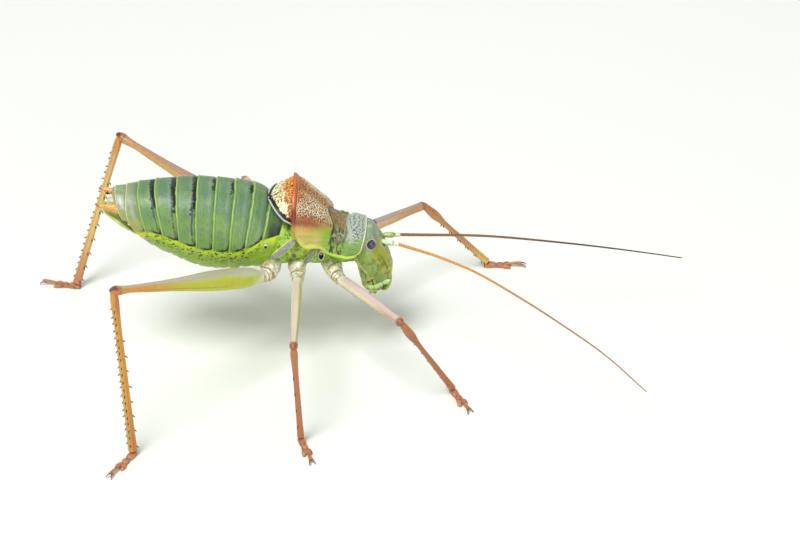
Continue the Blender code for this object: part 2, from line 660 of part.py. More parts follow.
def leg_joints(pair, side):
    """The hip, knee and ankle of a leg, with the tibia's slope set so that its end stands at ankle height."""
    sizes = LEG_PAIRS[pair]
    femur_turn, femur_rise, tibia_turn, foot_turn = LEG_POSE[pair, side]
    hip = mirrored(sizes["hip"], side)
    knee = hip + bearing(femur_turn, femur_rise) * sizes["femur"]
    slope = -math.degrees(math.asin(min(1.0, (knee[2] - ANKLE) / sizes["tibia"])))
    ankle = knee + bearing(tibia_turn, slope) * sizes["tibia"]
    return hip, knee, ankle, bearing(foot_turn)


def make_coxa(name, pair, side, hip, femur_along, trunk_cutters, collection):
    """The coxa: a stout cone out of the trunk's side, cut clear of the trunk by the gap."""
    root = mirrored(LEG_PAIRS[pair]["root"], side)
    end = hip - femur_along * GAP
    elbow = end - femur_along * COXA_ELBOW[pair]
    along = np.linspace(0, 1, 6)[:, None]
    path = (1 - along) ** 2 * root + 2 * along * (1 - along) * elbow + along**2 * end
    radii = COXA_END + (COXA_ROOT[pair] - COXA_END) * (1 - np.linspace(0, 1, 6) ** 1.8)
    rings = tube_rings(path, radii, 12)
    coxa = place(name, loft(name, rings), collection)
    combine(coxa, [mesh.copy() for mesh in trunk_cutters], "DIFFERENCE")


def make_femur(name, pair, hip, knee, collection):
    """The femur, deep in its own upright plane and narrower from side to side."""
    along = unit(knee - hip)
    side = unit(np.cross(UP, along))
    up = np.cross(along, side)
    rings = []
    rows = FEMUR_ROWS[pair]
    length = np.linalg.norm(knee - hip)
    for part in sorted({row[0] for row in rows} | {0.35, 0.75}):
        high, low, wide = glide(rows, part)
        rings.append(ring(hip + along * part * length, up, side, high, low, wide, FEMUR_SIDES))
    place(name, loft(name, rings), collection)


def make_tibia(name, pair, hip, knee, ankle, draws, collection):
    """The tibia with its rows of spines, from under the knee to just over the foot."""
    down = unit(ankle - knee)
    femur_along = unit(knee - hip)
    outer = unit(femur_along - down * np.dot(femur_along, down))
    side = np.cross(down, outer)
    start = knee + down * (FEMUR_ROWS[pair][-2][2] + GAP)
    end = ankle - down * (GAP + 0.05) / abs(down[2])
    rows = TIBIA_ROWS[pair]
    rings = []
    for part, half in rows:
        rings.append(ring(start + (end - start) * part, outer, side, half, half, half * 0.94, TIBIA_SIDES))
    tibia = place(name, loft(name, rings), collection)
    spines = []
    for count, turn, first, last, length in SPINE_ROWS[pair]:
        turn = math.radians(turn)
        out = outer * math.cos(turn) + side * math.sin(turn)
        for part in np.linspace(first, last, count):
            half = float(glide(rows, part)[0])
            lean = math.radians(SPINE_LEAN)
            along = out * math.cos(lean) + down * math.sin(lean)
            reach = (length + half * 0.8) * (1 + draws.uniform(-SPINE_VARIES, SPINE_VARIES))
            root = start + (end - start) * part + out * half * 0.2
            spines.append(spine_mesh(f"{name}_spine", root, along, reach))
    combine(tibia, spines, "UNION")


def foot_block(name, root, along, length, half_wide, height):
    """A foot joint that lies on the floor on a flat sole."""
    side = np.cross(UP, along)
    rings = []
    for part, full in ((0, 0.7), (0.3, 1), (0.75, 1), (1, 0.7)):
        middle = root + along * length * part + UP * height / 2
        section = ring(middle, UP, side, height / 2 * full, height, half_wide * full, 8)
        section[:, 2] = np.maximum(section[:, 2], 0)
        rings.append(section)
    return loft(name, rings)


def make_foot(name, ankle, along, length, collection):
    """The foot: two short joints, a third with a pad on each side, and a thin last one with two claws."""
    root = np.array((ankle[0], ankle[1], 0.0)) - along * FOOT_HEEL
    side = np.cross(UP, along)
    pieces = []
    for first, part, half_wide, height, turn in FOOT_JOINTS:
        start = root + along * length * first + side * turn * PAD_ASIDE
        line = unit(along + side * turn * PAD_TURN)
        pieces.append(foot_block(name, start, line, length * part, half_wide, height))
    last = [root + along * length * part + UP * height for part, height, _ in LAST_JOINT]
    pieces.append(loft(name, tube_rings(last, [radius for _, _, radius in LAST_JOINT], 7)))
    for turn in (-1, 1):
        claw = [root + along * length * part + side * turn * out + UP * height for part, out, height, _ in CLAW]
        pieces.append(loft(name, tube_rings(claw, [radius for _, _, _, radius in CLAW], 5)))
    foot = place(name, pieces[0], collection)
    combine(foot, pieces[1:], "UNION")


def make_legs(collection):
    """The six legs, each a coxa, femur, tibia and foot."""
    draws = random.Random(SEED)
    trunk = [loft("trunk_cutter", trunk_rings(rows, 12, GAP)) for rows in (THORAX_ROWS, ABDOMEN_ROWS)]
    for pair, side in LEG_POSE:
        hip, knee, ankle, foot_along = leg_joints(pair, side)
        make_coxa(f"coxa_{pair}_{side}", pair, side, hip, unit(knee - hip), trunk, collection)
        make_femur(f"femur_{pair}_{side}", pair, hip, knee, collection)
        make_tibia(f"tibia_{pair}_{side}", pair, hip, knee, ankle, draws, collection)
        make_foot(f"foot_{pair}_{side}", ankle, foot_along, LEG_PAIRS[pair]["foot"], collection)


def finish_of(name):
    """The colour and roughness of a node, by the words of its name."""
    for words, finish in FINISHES.items():
        if name.startswith(words) or f"_{words}" in name:
            return finish
    raise ValueError(f"no finish for {name}")


def give_materials(collection):
    """A Principled material of its own for each node."""
    for node in collection.objects:
        colour, roughness = finish_of(node.name)
        material = bpy.data.materials.new(node.name)
        material.use_nodes = True
        shader = material.node_tree.nodes["Principled BSDF"]
        shader.inputs["Base Color"].default_value = (*colour, 1)
        shader.inputs["Roughness"].default_value = roughness
        shader.inputs["Metallic"].default_value = 0
        node.data.materials.clear()
        node.data.materials.append(material)


def main():
    for thing in list(bpy.data.objects):
        bpy.data.objects.remove(thing)
    cricket = bpy.data.collections.new("saddle_backed_bush_cricket")
    bpy.context.scene.collection.children.link(cricket)
    make_trunk(cricket)
    make_tail(cricket)
    make_head(cricket)
    make_mouth(cricket)
    make_feelers(cricket)
    make_legs(cricket)
    give_materials(cricket)


main()
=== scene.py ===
# The looks of a saddle-backed bush cricket, a male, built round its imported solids.
# Shapes are worked out in millimetres in the stance's axes: x towards the head, y to its left, z up from
# the floor.

import bpy
import numpy as np
from mathutils import Matrix


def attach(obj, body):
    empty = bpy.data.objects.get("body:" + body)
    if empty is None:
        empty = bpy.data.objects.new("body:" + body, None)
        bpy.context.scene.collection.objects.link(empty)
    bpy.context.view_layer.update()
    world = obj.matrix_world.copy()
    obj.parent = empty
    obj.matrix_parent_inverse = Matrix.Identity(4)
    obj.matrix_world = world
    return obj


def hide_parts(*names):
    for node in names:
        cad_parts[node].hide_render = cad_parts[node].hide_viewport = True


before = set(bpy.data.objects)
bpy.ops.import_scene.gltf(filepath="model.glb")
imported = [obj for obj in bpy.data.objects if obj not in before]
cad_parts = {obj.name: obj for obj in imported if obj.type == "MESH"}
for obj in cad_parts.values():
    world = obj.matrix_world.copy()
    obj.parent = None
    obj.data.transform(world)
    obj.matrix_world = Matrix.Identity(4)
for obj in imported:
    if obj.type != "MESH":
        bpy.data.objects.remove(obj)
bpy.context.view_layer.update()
print("loaded", len(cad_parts), "solids")

milli = 0.001
middle = np.array((-4.65, -1.35, 0.0))  # where the solids' origin lies in the stance
ahead, _, up = np.eye(3)
bothSides = ("left", "right")


# values between a table's rows: cubic pieces whose slopes come from the neighbouring rows
def glide(rows, at):
    table, at = np.asarray(rows, float), np.asarray(at, float)
    places, values = table[:, 0], table[:, 1:]
    slopes = np.gradient(values, places, axis=0)
    i = np.clip(np.searchsorted(places, at) - 1, 0, len(places) - 2)
    step = (places[i + 1] - places[i])[..., None]
    t = (at - places[i])[..., None] / step
    start = (2 * t**3 - 3 * t**2 + 1) * values[i] + (t**3 - 2 * t**2 + t) * step * slopes[i]
    end = (3 * t**2 - 2 * t**3) * values[i + 1] + (t**3 - t**2) * step * slopes[i + 1]
    return np.moveaxis(start + end, -1, 0)


# 0 below low, 1 above high, an S curve between; of numbers, or of a material's wire
def ease(value, low, high):
    if isinstance(value, Wire):
        return value.ease(low, high)
    t = np.clip((value - low) / (high - low), 0, 1)
    return t * t * (3 - 2 * t)


# a hump of height 1 at a place, falling off over half like a bell; a wire's is an S curve that ends there
def hump(value, place, half):
    if isinstance(value, Wire):
        return 1 - ease(abs(value - place), 0.0, half)
    return np.exp(-(((value - place) / half) ** 2))


# a vector drawn in or out to a length of 1
def unit(vector):
    return vector / np.linalg.norm(vector, axis=-1, keepdims=True)


# a point of the left side, or its mirror image on the right, where y changes its sign
def mirrored(point, side):
    return np.asarray(point, float) * (1, 1 if side == "left" else -1, 1)


# smooth random heights from -1 to 1: random numbers on a lattice, eased between its corners
def lumps(points, step, seed):
    numbers = np.random.default_rng(seed).uniform(-1, 1, 4096)
    place = np.asarray(points) / step
    base = np.floor(place).astype(np.int64)
    t = ease(place - base, 0, 1)
    total = 0
    for corner in np.ndindex(2, 2, 2):
        cell = base + corner
        pick = (cell[..., 0] * 73856093) ^ (cell[..., 1] * 19349663) ^ (cell[..., 2] * 83492791)
        total = total + np.prod(np.where(corner, t, 1 - t), axis=-1) * numbers[pick & 4095]
    return total


# distances to the nearest and second nearest of points scattered one to each square of a grid
def cells(across, along, step, seed):
    numbers = np.random.default_rng(seed).uniform(0.1, 0.9, (2, 4096))
    place = np.stack([across, along], -1) / step
    base = np.floor(place).astype(np.int64)
    found = []
    for shift in np.ndindex(3, 3):
        cell = base + np.array(shift) - 1
        pick = ((cell[..., 0] * 73856093) ^ (cell[..., 1] * 19349663)) & 4095
        found.append(np.hypot(*np.moveaxis(cell + np.moveaxis(numbers[:, pick], 0, -1) - place, -1, 0)))
    found = np.sort(np.array(found), axis=0)
    return found[0], found[1]


# the outward direction at each point of a grid, from its neighbours
def outwards(grid, wrap=True):
    if wrap:
        across = np.roll(grid, -1, axis=1) - np.roll(grid, 1, axis=1)
    else:
        across = np.gradient(grid, axis=1)
    return unit(np.cross(np.gradient(grid, axis=0), across) + 1e-12)


# rings square to a path: lift and spread are each ring point's reach along the path's own up and side
def rings(path, lift, spread, hint=up):
    path = np.asarray(path, float)
    run = unit(np.gradient(path, axis=0))
    side = unit(np.cross(hint, run))
    rise = np.cross(run, side)
    return path[:, None] + lift[..., None] * rise[:, None] + spread[..., None] * side[:, None]


# angles evenly spaced round a full turn
def around(count, start=0.0):
    return start + np.arange(count) * 2 * np.pi / count


# cosine and sine drawn out towards a box
def roundBox(turn, power):
    rise, out = np.cos(turn), np.sin(turn)
    return np.sign(rise) * np.abs(rise) ** (2 / power), np.sign(out) * np.abs(out) ** (2 / power)


# a round tube along a path, with a radius at each point
def tube(path, radii, count=12):
    turn = around(count)
    return rings(path, radii[:, None] * np.cos(turn), radii[:, None] * np.sin(turn))


# points on axes that lean towards the head: the rise along the leaning one, the rest to the side
def leaning(back, height, lean, rise, out):
    lean = np.radians(lean)
    return np.stack(np.broadcast_arrays(rise * np.sin(lean) - back, out, height + rise * np.cos(lean)), -1)


# points evenly spaced along a smooth curve through the given ones
def curve(points, count):
    points = np.asarray(points, float)
    along = np.concatenate([[0], np.cumsum(np.linalg.norm(np.diff(points, axis=0), axis=1))])
    return glide(np.column_stack([along, points]), np.linspace(0, along[-1], count)).T


class Shape:  # gathers grids of points, then makes one object of them
    def __init__(self):
        self.points, self.faces, self.skin, self.tone, self.count = [], [], [], [], 0

    # quads between the grid's neighbours; wrap joins the last column to the first, closed caps both ends
    def add(self, grid, skin=(0, 0, 0), tone=(0, 0, 0), wrap=True, closed=True, flip=False):
        rows, columns = grid.shape[:2]
        points = grid.reshape(-1, 3)
        index = np.arange(rows * columns).reshape(rows, columns)
        if wrap:
            index = np.column_stack([index, index[:, 0]])
        quads = np.stack([index[:-1, :-1], index[:-1, 1:], index[1:, 1:], index[1:, :-1]], -1).reshape(-1, 4)
        caps = np.empty((0, 3), int)
        if closed:
            points = np.concatenate([points, [grid[0].mean(0)], [grid[-1].mean(0)]])
            first, last, start = index[0], index[-1], np.full(columns, rows * columns)
            caps = np.stack([start, first[1:], first[:-1]], -1)
            caps = np.concatenate([caps, np.stack([start + 1, last[:-1], last[1:]], -1)])
            a, b, c, d = (points[quads[:, i]] - points.mean(0) for i in range(4))
            size = np.einsum("ij,ij->", a, np.cross(b, c)) + np.einsum("ij,ij->", a, np.cross(c, d))
            flip = size < 0
        if flip:
            quads, caps = quads[:, ::-1], caps[:, ::-1]
        self.points.append(points)
        self.faces += (quads + self.count).tolist() + (caps + self.count).tolist()
        for store, values in ((self.skin, skin), (self.tone, tone)):
            values = [np.broadcast_to(value, (rows, columns)) for value in values]
            values = np.stack(values, -1).reshape(-1, 3)
            if closed:
                values = np.concatenate([values, values[:1], values[-1:]])
            store.append(values)
        self.count += len(points)
        return self

    # the mesh with both marks as point attributes, a wall where thick, riding the only body there is
    def make(self, name, finish, slot, replaces=(), thick=0):
        mesh = bpy.data.meshes.new(name)
        mesh.from_pydata(((np.concatenate(self.points) - middle) * milli).tolist(), [], self.faces)
        for word, store in (("skin", self.skin), ("tone", self.tone)):
            marks = mesh.attributes.new(word, "FLOAT_VECTOR", "POINT")
            marks.data.foreach_set("vector", np.concatenate(store).astype(np.float32).ravel())
        mesh.shade_smooth()
        mesh.materials.append(finish)
        piece = bpy.data.objects.new(name, mesh)
        bpy.context.scene.collection.objects.link(piece)
        if thick:
            wall = piece.modifiers.new("wall", "SOLIDIFY")
            wall.thickness = thick * milli
            wall.offset = -1
            wall.use_even_offset = False
        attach(piece, "root")
        if replaces:
            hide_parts(*replaces)
        print("made", name, len(mesh.polygons), "faces")


class Wire:  # a node's socket that takes part in sums
    def __init__(self, finish, socket):
        self.finish, self.socket = finish, socket

    # one node of arithmetic
    def sum(self, operation, *values):
        return self.finish.node("ShaderNodeMath", {"operation": operation}, values)

    def __add__(self, other):
        return self.sum("ADD", self, other)

    def __sub__(self, other):
        return self.sum("SUBTRACT", self, other)

    def __rsub__(self, other):
        return self.sum("SUBTRACT", other, self)

    def __mul__(self, other):
        return self.sum("MULTIPLY", self, other)

    def __abs__(self):
        return self.sum("ABSOLUTE", self)

    # the S curve by a node, turned over where low lies above high
    def ease(self, low, high):
        if low > high:
            return 1 - self.ease(high, low)
        values = {"Value": self, "From Min": low, "From Max": high}
        return self.finish.node("ShaderNodeMapRange", {"interpolation_type": "SMOOTHSTEP"}, values)

    # its x, y and z
    def parts(self):
        split = self.finish.node("ShaderNodeSeparateXYZ", {}, (self,))
        return [Wire(self.finish, socket) for socket in split.socket.node.outputs]

    __radd__ = __add__
    __rmul__ = __mul__


# one colour turned into another by a share
def mix(one, two, share):
    return share.finish.node("ShaderNodeMix", {"data_type": "RGBA"}, {0: share, 6: one, 7: two}, 2)


# colours laid over a first one, each by its own share
def layers(first, *pairs):
    for colour, share in pairs:
        first = mix(first, colour, share)
    return first


# what all finishes share: the varnish's roughness, and how far light spreads under the skin
glow = {"Coat Roughness": 0.25, "Subsurface Radius": (1.0, 0.9, 0.4), "Subsurface Scale": 0.00015}


class Finish:  # a material and the nodes that make it
    def __init__(self, name, rough=0.4, coat=0.0, under=0.12, **fixed):
        self.material = bpy.data.materials.new(name)
        self.material.use_nodes = True
        self.tree = self.material.node_tree
        self.shader = self.tree.nodes["Principled BSDF"]
        fixed.update({"Roughness": rough, "Coat Weight": coat, "Subsurface Weight": under})
        for socket, value in (glow | fixed).items():
            self.shader.inputs[socket].default_value = value

    # any node: its settings first, then the numbers, colours or wires of its sockets
    def node(self, kind, settings, values, out=0):
        made = self.tree.nodes.new(kind)
        for word, setting in settings.items():
            setattr(made, word, setting)
        pairs = values.items() if isinstance(values, dict) else enumerate(values)
        for place, value in pairs:
            if isinstance(value, Wire):
                self.tree.links.new(value.socket, made.inputs[place])
            elif isinstance(value, tuple) and made.inputs[place].type == "RGBA":
                made.inputs[place].default_value = (*value[:3], 1)
            else:
                made.inputs[place].default_value = value
        return Wire(self, made.outputs[out])

    # the three numbers that a mesh's point attribute holds
    def mark(self, name):
        return self.node("ShaderNodeAttribute", {"attribute_name": name}, (), "Vector").parts()

    # the point in millimetres, drawn out by stretch along each axis
    def place(self, stretch=(1, 1, 1)):
        spot = self.node("ShaderNodeTexCoord", {}, (), "Object")
        scale = tuple(value / milli for value in stretch)
        return self.node("ShaderNodeVectorMath", {"operation": "MULTIPLY"}, (spot, scale))

    # noise from 0 to 1, about one lump to a millimetre divided by the scale
    def noise(self, scale, detail=3.0, stretch=(1, 1, 1)):
        values = {"Vector": self.place(stretch), "Scale": scale, "Detail": detail}
        return self.node("ShaderNodeTexNoise", {}, values)

    # the distance to the nearest of scattered points, or to the edge between two of them
    def cells(self, scale, feature="F1", stretch=(1, 1, 1)):
        values = {"Vector": self.place(stretch), "Scale": scale}
        return self.node("ShaderNodeTexVoronoi", {"feature": feature}, values)

    # the finished material: colour and, where given, relief of a depth in millimetres and roughness
    def done(self, colour, bump=None, depth=0.02, rough=None):
        if bump is not None:
            values = {"Height": bump, "Distance": depth * milli, "Strength": 1.0}
            bump = self.node("ShaderNodeBump", {}, values)
        for place, wire in (("Base Color", colour), ("Roughness", rough), ("Normal", bump)):
            if wire is not None:
                self.tree.links.new(wire.socket, self.shader.inputs[place])
        return self.material


trunk = {
    # how far back a section lies, its middle's height, its reach up, down and to each side, and its lean
    "rows": (
        (3.45, 10.05, 1.25, 1.3, 1.45, 25), (4.3, 10.3, 1.55, 1.7, 1.7, 24),
        (5.2, 10.7, 1.75, 2.05, 1.8, 22), (6.2, 11.1, 1.9, 2.35, 1.95, 21),
        (7.1, 11.5, 2.3, 2.65, 2.2, 21), (8.0, 11.85, 2.5, 2.9, 2.5, 22),
        (9.0, 12.1, 2.55, 3.1, 2.85, 23), (10.3, 12.25, 2.6, 3.2, 3.05, 25),
        (10.9, 12.4, 2.75, 3.35, 3.2, 23), (11.5, 12.58, 3.25, 3.52, 3.34, 20),
        (12.1, 12.78, 3.62, 3.65, 3.5, 17), (12.9, 12.98, 3.8, 3.8, 3.6, 14),
        (14.2, 13.2, 3.95, 3.98, 3.65, 9.5), (15.6, 13.42, 4.0, 4.08, 3.65, 8),
        (17.0, 13.7, 3.92, 3.95, 3.6, 5), (18.4, 14.0, 3.7, 3.68, 3.35, 0),
        (19.8, 14.35, 3.35, 3.4, 3.05, -7), (21.3, 14.85, 2.78, 3.28, 2.6, -12),
        (22.4, 15.3, 2.22, 2.7, 2.1, -14), (23.0, 15.55, 1.97, 1.5, 1.8, -15),
        (23.6, 15.8, 1.66, 0.9, 1.45, -16),
    ),
    "start": 3.2, "end": 23.5, "rings": 540, "sides": 180,
    # where the chest ends, and the soft side, the first back plate and the belly's own plates start
    "chest": 10.3, "soft": 10.2, "first": 10.35, "belly": 11.5,
    "topEnds": (11.63, 12.8, 14.1, 15.57, 16.97, 18.43, 19.88, 21.18, 22.2, 23.27),
    "sideEnds": (11.62, 12.85, 14.16, 15.58, 16.98, 18.4, 19.76, 21.28, 22.7, 23.32),
    # where the back plates end at the side, in degrees from the top
    "edge": ((3.0, 40), (9.0, 45), (10.0, 54), (11.4, 72), (12.9, 92), (14.1, 96), (15.6, 96), (17.0, 94.5),
             (18.4, 91), (19.8, 88), (21.0, 90), (21.5, 97), (22.3, 108), (23.0, 121), (23.6, 134)),
}


# a point of the trunk: its section's middle, plus its reach up or down by the cosine of the turn from the top
# and to the side by the sine, on axes that lean with the section
def trunkPoint(back, turn, grow=0.0):
    height, high, low, wide, lean = glide(trunk["rows"], back)
    rise = np.cos(turn)
    reach = np.where(rise > 0, high, low) + grow
    return leaning(back, height, lean, rise * reach, np.sin(turn) * (wide + grow))


# the trunk's skin: trunkPoint over a grid of places and turns, moved outwards by each back plate's slope and
# lip, by the soft side's folds and by the belly plates' steps
def makeTrunk():
    back = np.linspace(trunk["start"], trunk["end"], trunk["rings"])[:, None]
    back, turn = np.broadcast_arrays(back, around(trunk["sides"], -np.pi))
    grid = trunkPoint(back, turn)
    degrees = np.abs(np.degrees(turn))
    down = ease(degrees, 0, 95)
    ends = [top + (side - top) * down for top, side in zip(trunk["topEnds"], trunk["sideEnds"])]
    ends = np.array([np.full_like(down, trunk["first"]), *ends])
    ends[-2:] += np.array((0.5, 0.12))[:, None, None] * ease(degrees, 90, 135)
    wobble = 0.03 * lumps(grid, 0.9, 3) + 0.012 * lumps(grid, 0.3, 4)
    plate = np.sum(back + wobble > ends, axis=0)
    limits = np.concatenate([ends[:1] - 9, ends, ends[-1:] + 9])
    fromFront = back + wobble - np.take_along_axis(limits, plate[None], 0)[0]
    fromRear = np.take_along_axis(limits, plate[None] + 1, 0)[0] - back - wobble
    run = fromFront / (fromFront + fromRear)
    edge = glide(np.array(trunk["edge"]), back)[0] + 2.2 * np.sin(run * np.pi) * (back > trunk["belly"])
    _, high, low, wide, _ = glide(trunk["rows"], back)
    below = np.radians(degrees - edge) * (high + low + 2 * wide) / 4
    onPlate = ease(-below, -0.05, 0.1) * (plate > 0)
    lift = -0.05 + 0.05 * ease(fromFront, 0, 0.25) + 0.06 * run**2 + 0.035 * hump(fromRear, 0.08, 0.06)
    lift -= 0.05 * hump(fromFront, 0.02, 0.05)
    lift += 0.02 * hump(degrees, 0, 3) + 0.012 * lumps(grid * (0.3, 1, 1), 0.35, 5)
    lift = lift * onPlate
    soft = (1 - onPlate) * (back > trunk["soft"])
    puff = 0.07 * np.sin(run * np.pi) * hump(below, 0.35, 0.5)
    puff = puff - 0.07 * hump(np.minimum(fromFront, fromRear), 0, 0.14)
    folds = 0.05 * lumps(grid * (0.5, 1, 1.4), 0.5, 7) + 0.035 * lumps(grid * (0.7, 1, 1.6), 0.22, 9)
    lift += soft * (puff + folds - 0.09 * hump(below, 0.06, 0.1))
    lift += ease(degrees, 148, 156) * (back > trunk["belly"]) * (0.04 * run - 0.02)
    lift += (back < trunk["chest"]) * (0.09 * lumps(grid, 0.8, 11) + 0.04 * lumps(grid, 0.3, 12))
    grid = grid - outwards(grid) * lift[..., None]
    body = Shape().add(grid, (fromFront, fromRear, below), (back, degrees, 0))
    body.make("trunkSkin", trunkFinish(), "abdomen", ("abdomen", "thorax"))


# plates grey to leaf green with dark patches and thin pale hind edges, a yellow-green band with dark
# dots below them, all laid on by distance from the plate's edges, place back and turn from the top
def trunkFinish():
    look = Finish("plate and belly skin", rough=0.4, coat=0.06, under=0.06, **{"Specular IOR Level": 0.35})
    front, rear, below = look.mark("skin")
    back, turn, _ = look.mark("tone")
    broad = look.noise(0.9, 3)
    fine = look.noise(6, 4)
    streak = look.noise(2.2, 3, (2.4, 0.35, 0.35))
    mottle = look.noise(5, 3, (1.4, 1, 0.5))
    tail = ease(back, 20.9, 22.2)
    grey, leaf, pale = (0.1, 0.2, 0.1), (0.19, 0.32, 0.06), (0.3, 0.36, 0.2)
    colour = layers(
        grey,
        (leaf, ease(broad + ease(turn, 10, 95) * 0.3, 0.45, 1.0)),
        ((0.2, 0.32, 0.12), ease(streak, 0.5, 0.75) * 0.5),
        ((0.07, 0.13, 0.05), ease(mottle, 0.52, 0.68) * 0.4),
        ((0.24, 0.29, 0.22), hump(front + (mottle - 0.5) * 0.5, 0.42, 0.2) * ease(turn, 100, 70) * 0.35),
        ((0.22, 0.36, 0.12), ease(rear, 0.45, 0.12) * 0.5),
        (pale, tail * 0.7),
        # painted highlight: a pale lilac spot on the side near the tail end
        ((0.62, 0.58, 0.64), hump(back, 22.8, 0.45) * hump(turn, 46, 30) * 0.85),
        ((0.4, 0.4, 0.42), hump(back, 21.95, 0.28) * hump(turn, 55, 40) * 0.7),
        ((0.2, 0.16, 0.07), ease(look.noise(3.6, 4), 0.52, 0.66) * tail * 0.5),
        ((0.38, 0.38, 0.07), ease(back, 20.6, 22.0) * ease(turn + (broad - 0.5) * 40, 54, 92) * 0.8),
        ((0.5, 0.36, 0.12), ease(back, 22.9, 23.5) * ease(turn, 60, 100) * 0.5),
    )
    # dark patches behind each plate's edge near the top, with streaks down from them
    torn = look.noise(3.0, 4, (1, 1.6, 1.6))
    strength = ease(back, 16.3, 16.9) * ease(back, 21.0, 20.4)
    top = ease(turn + (torn - 0.5) * 50 - strength * 36, 17, 5) * ease(back, 21.0, 20.6)
    patch = ease(front + (torn - 0.5) * 0.9 - strength * 0.1, 0.24, 0.18) * top
    strands = hump(front + (streak - 0.5) * 0.3, 0.27, 0.1) * ease(torn, 0.4, 0.5)
    strands = strands * ease(turn, 100, 84) * (strength * 0.75 + 0.15)
    seam = ease(below + (torn - 0.5) * 0.4, -0.34, -0.14) * ease(front, 1.2, 0.5)
    corner = ease(front + (torn - 0.5) * 0.3, 0.26, 0.1) * ease(below, -0.9, -0.3) * 0.8
    first = ease(back + turn * 0.012, 12.35, 11.85) * ease(below, -2.2, -0.2) * 0.85
    dark, dim = (0.008, 0.014, 0.01), (0.03, 0.04, 0.035)
    away = 1 - tail
    shares = (patch, corner * away, seam * away, first)
    colour = layers(colour, (dim, strands), *((dark, share) for share in shares))
    # thin pale hind edges
    lip = ease(rear + (fine - 0.5) * 0.04, 0.12, 0.06)
    lipColour = mix((0.36, 0.5, 0.09), (0.7, 0.6, 0.36), ease(back, 21.4, 22.2))
    colour = layers(colour, (dim, hump(rear, 0.2, 0.05) * 0.5 * away), (lipColour, lip))
    # soft side and belly
    band = layers(
        (0.4, 0.56, 0.02),
        ((0.24, 0.38, 0.01), ease(below + (broad - 0.5) * 0.9, 0.1, 1.1)),
        ((0.3, 0.42, 0.01), ease(turn, 128, 160)),
        ((0.55, 0.68, 0.14), ease(fine, 0.55, 0.75) * 0.5),
        ((0.1, 0.2, 0.01), ease(look.noise(4, 3, (0.6, 1, 1.6)), 0.56, 0.7) * 0.45),
        ((0.5, 0.58, 0.04), ease(back, 20.6, 21.6) * ease(below, 0.75, 0.35)),
        ((0.3, 0.36, 0.12), ease(back, 20.6, 21.6) * ease(below, 0.35, 0.75) * 0.9),
    )
    dots = ease(look.cells(3.3, "F1", (1, 1, 1.3)), 0.42, 0.32) * ease(abs(below - 0.75), 0.85, 0.45)
    dots = dots * ease(look.noise(1.9, 2), 0.38, 0.42) * ease(back, 11.0, 12.2) * away
    band = mix(band, (0.008, 0.012, 0.005), dots)
    colour = mix(colour, band, ease(below + (fine - 0.5) * 0.12, -0.03, 0.04))
    # under the collar: yellow-green skin whose darker blotches and thin dark lines are painted shade of its
    # hollows and creases
    chest = layers(
        (0.3, 0.52, 0.03),
        ((0.13, 0.24, 0.02), ease(look.noise(1.3, 4), 0.45, 0.62)),
        ((0.56, 0.62, 0.16), ease(look.noise(2.2, 3), 0.52, 0.66) * 0.7),
        ((0.08, 0.08, 0.02), hump(look.noise(0.9, 3, (1.5, 1, 0.9)), 0.5, 0.03) * 0.8),
        ((0.12, 0.1, 0.02), ease(look.noise(1.6, 4, (1.2, 1, 0.7)), 0.55, 0.7) * 0.7),
    )
    colour = mix(colour, chest, ease(back, 10.55, 10.15))
    height = fine * 0.5 + look.noise(22, 3) * 0.25 + streak * 0.5
    rough = ease(look.noise(9, 2), 0.2, 0.8) * 0.14 + 0.28
    return look.done(colour, height, 0.05, rough)


flank = {
    # plates on the trunk's side: first and last place back and degrees from the top, half width, thickness
    "bars": (((7.0, 88), (7.42, 136), 0.3, 0.2), ((8.94, 70), (10.3, 107), 0.34, 0.2)),
    # spiracles: place back, degrees from the top, half width, half length, how far its long axis turns
    "slits": (((6.34, 102), 0.33, 0.75, 10), ((11.2, 83), 0.22, 0.26, 0)),
    "drop": ((8.5, 104), 0.27, 0.46, 14),
    "raised": 0.06,
}


# the trunk's surface at a place: the point, its outward direction, and the directions down and ahead along it
def flankFrame(back, degrees, side):
    sign = 1 if side == "left" else -1
    turn = np.radians(degrees) * sign
    spot, above = trunkPoint(back, turn), trunkPoint(back, turn, 0.1)
    out = unit(above - spot)
    down = unit(trunkPoint(back, turn + 0.02 * sign) - spot)
    return spot, out, down, unit(np.cross(down, out)) * sign


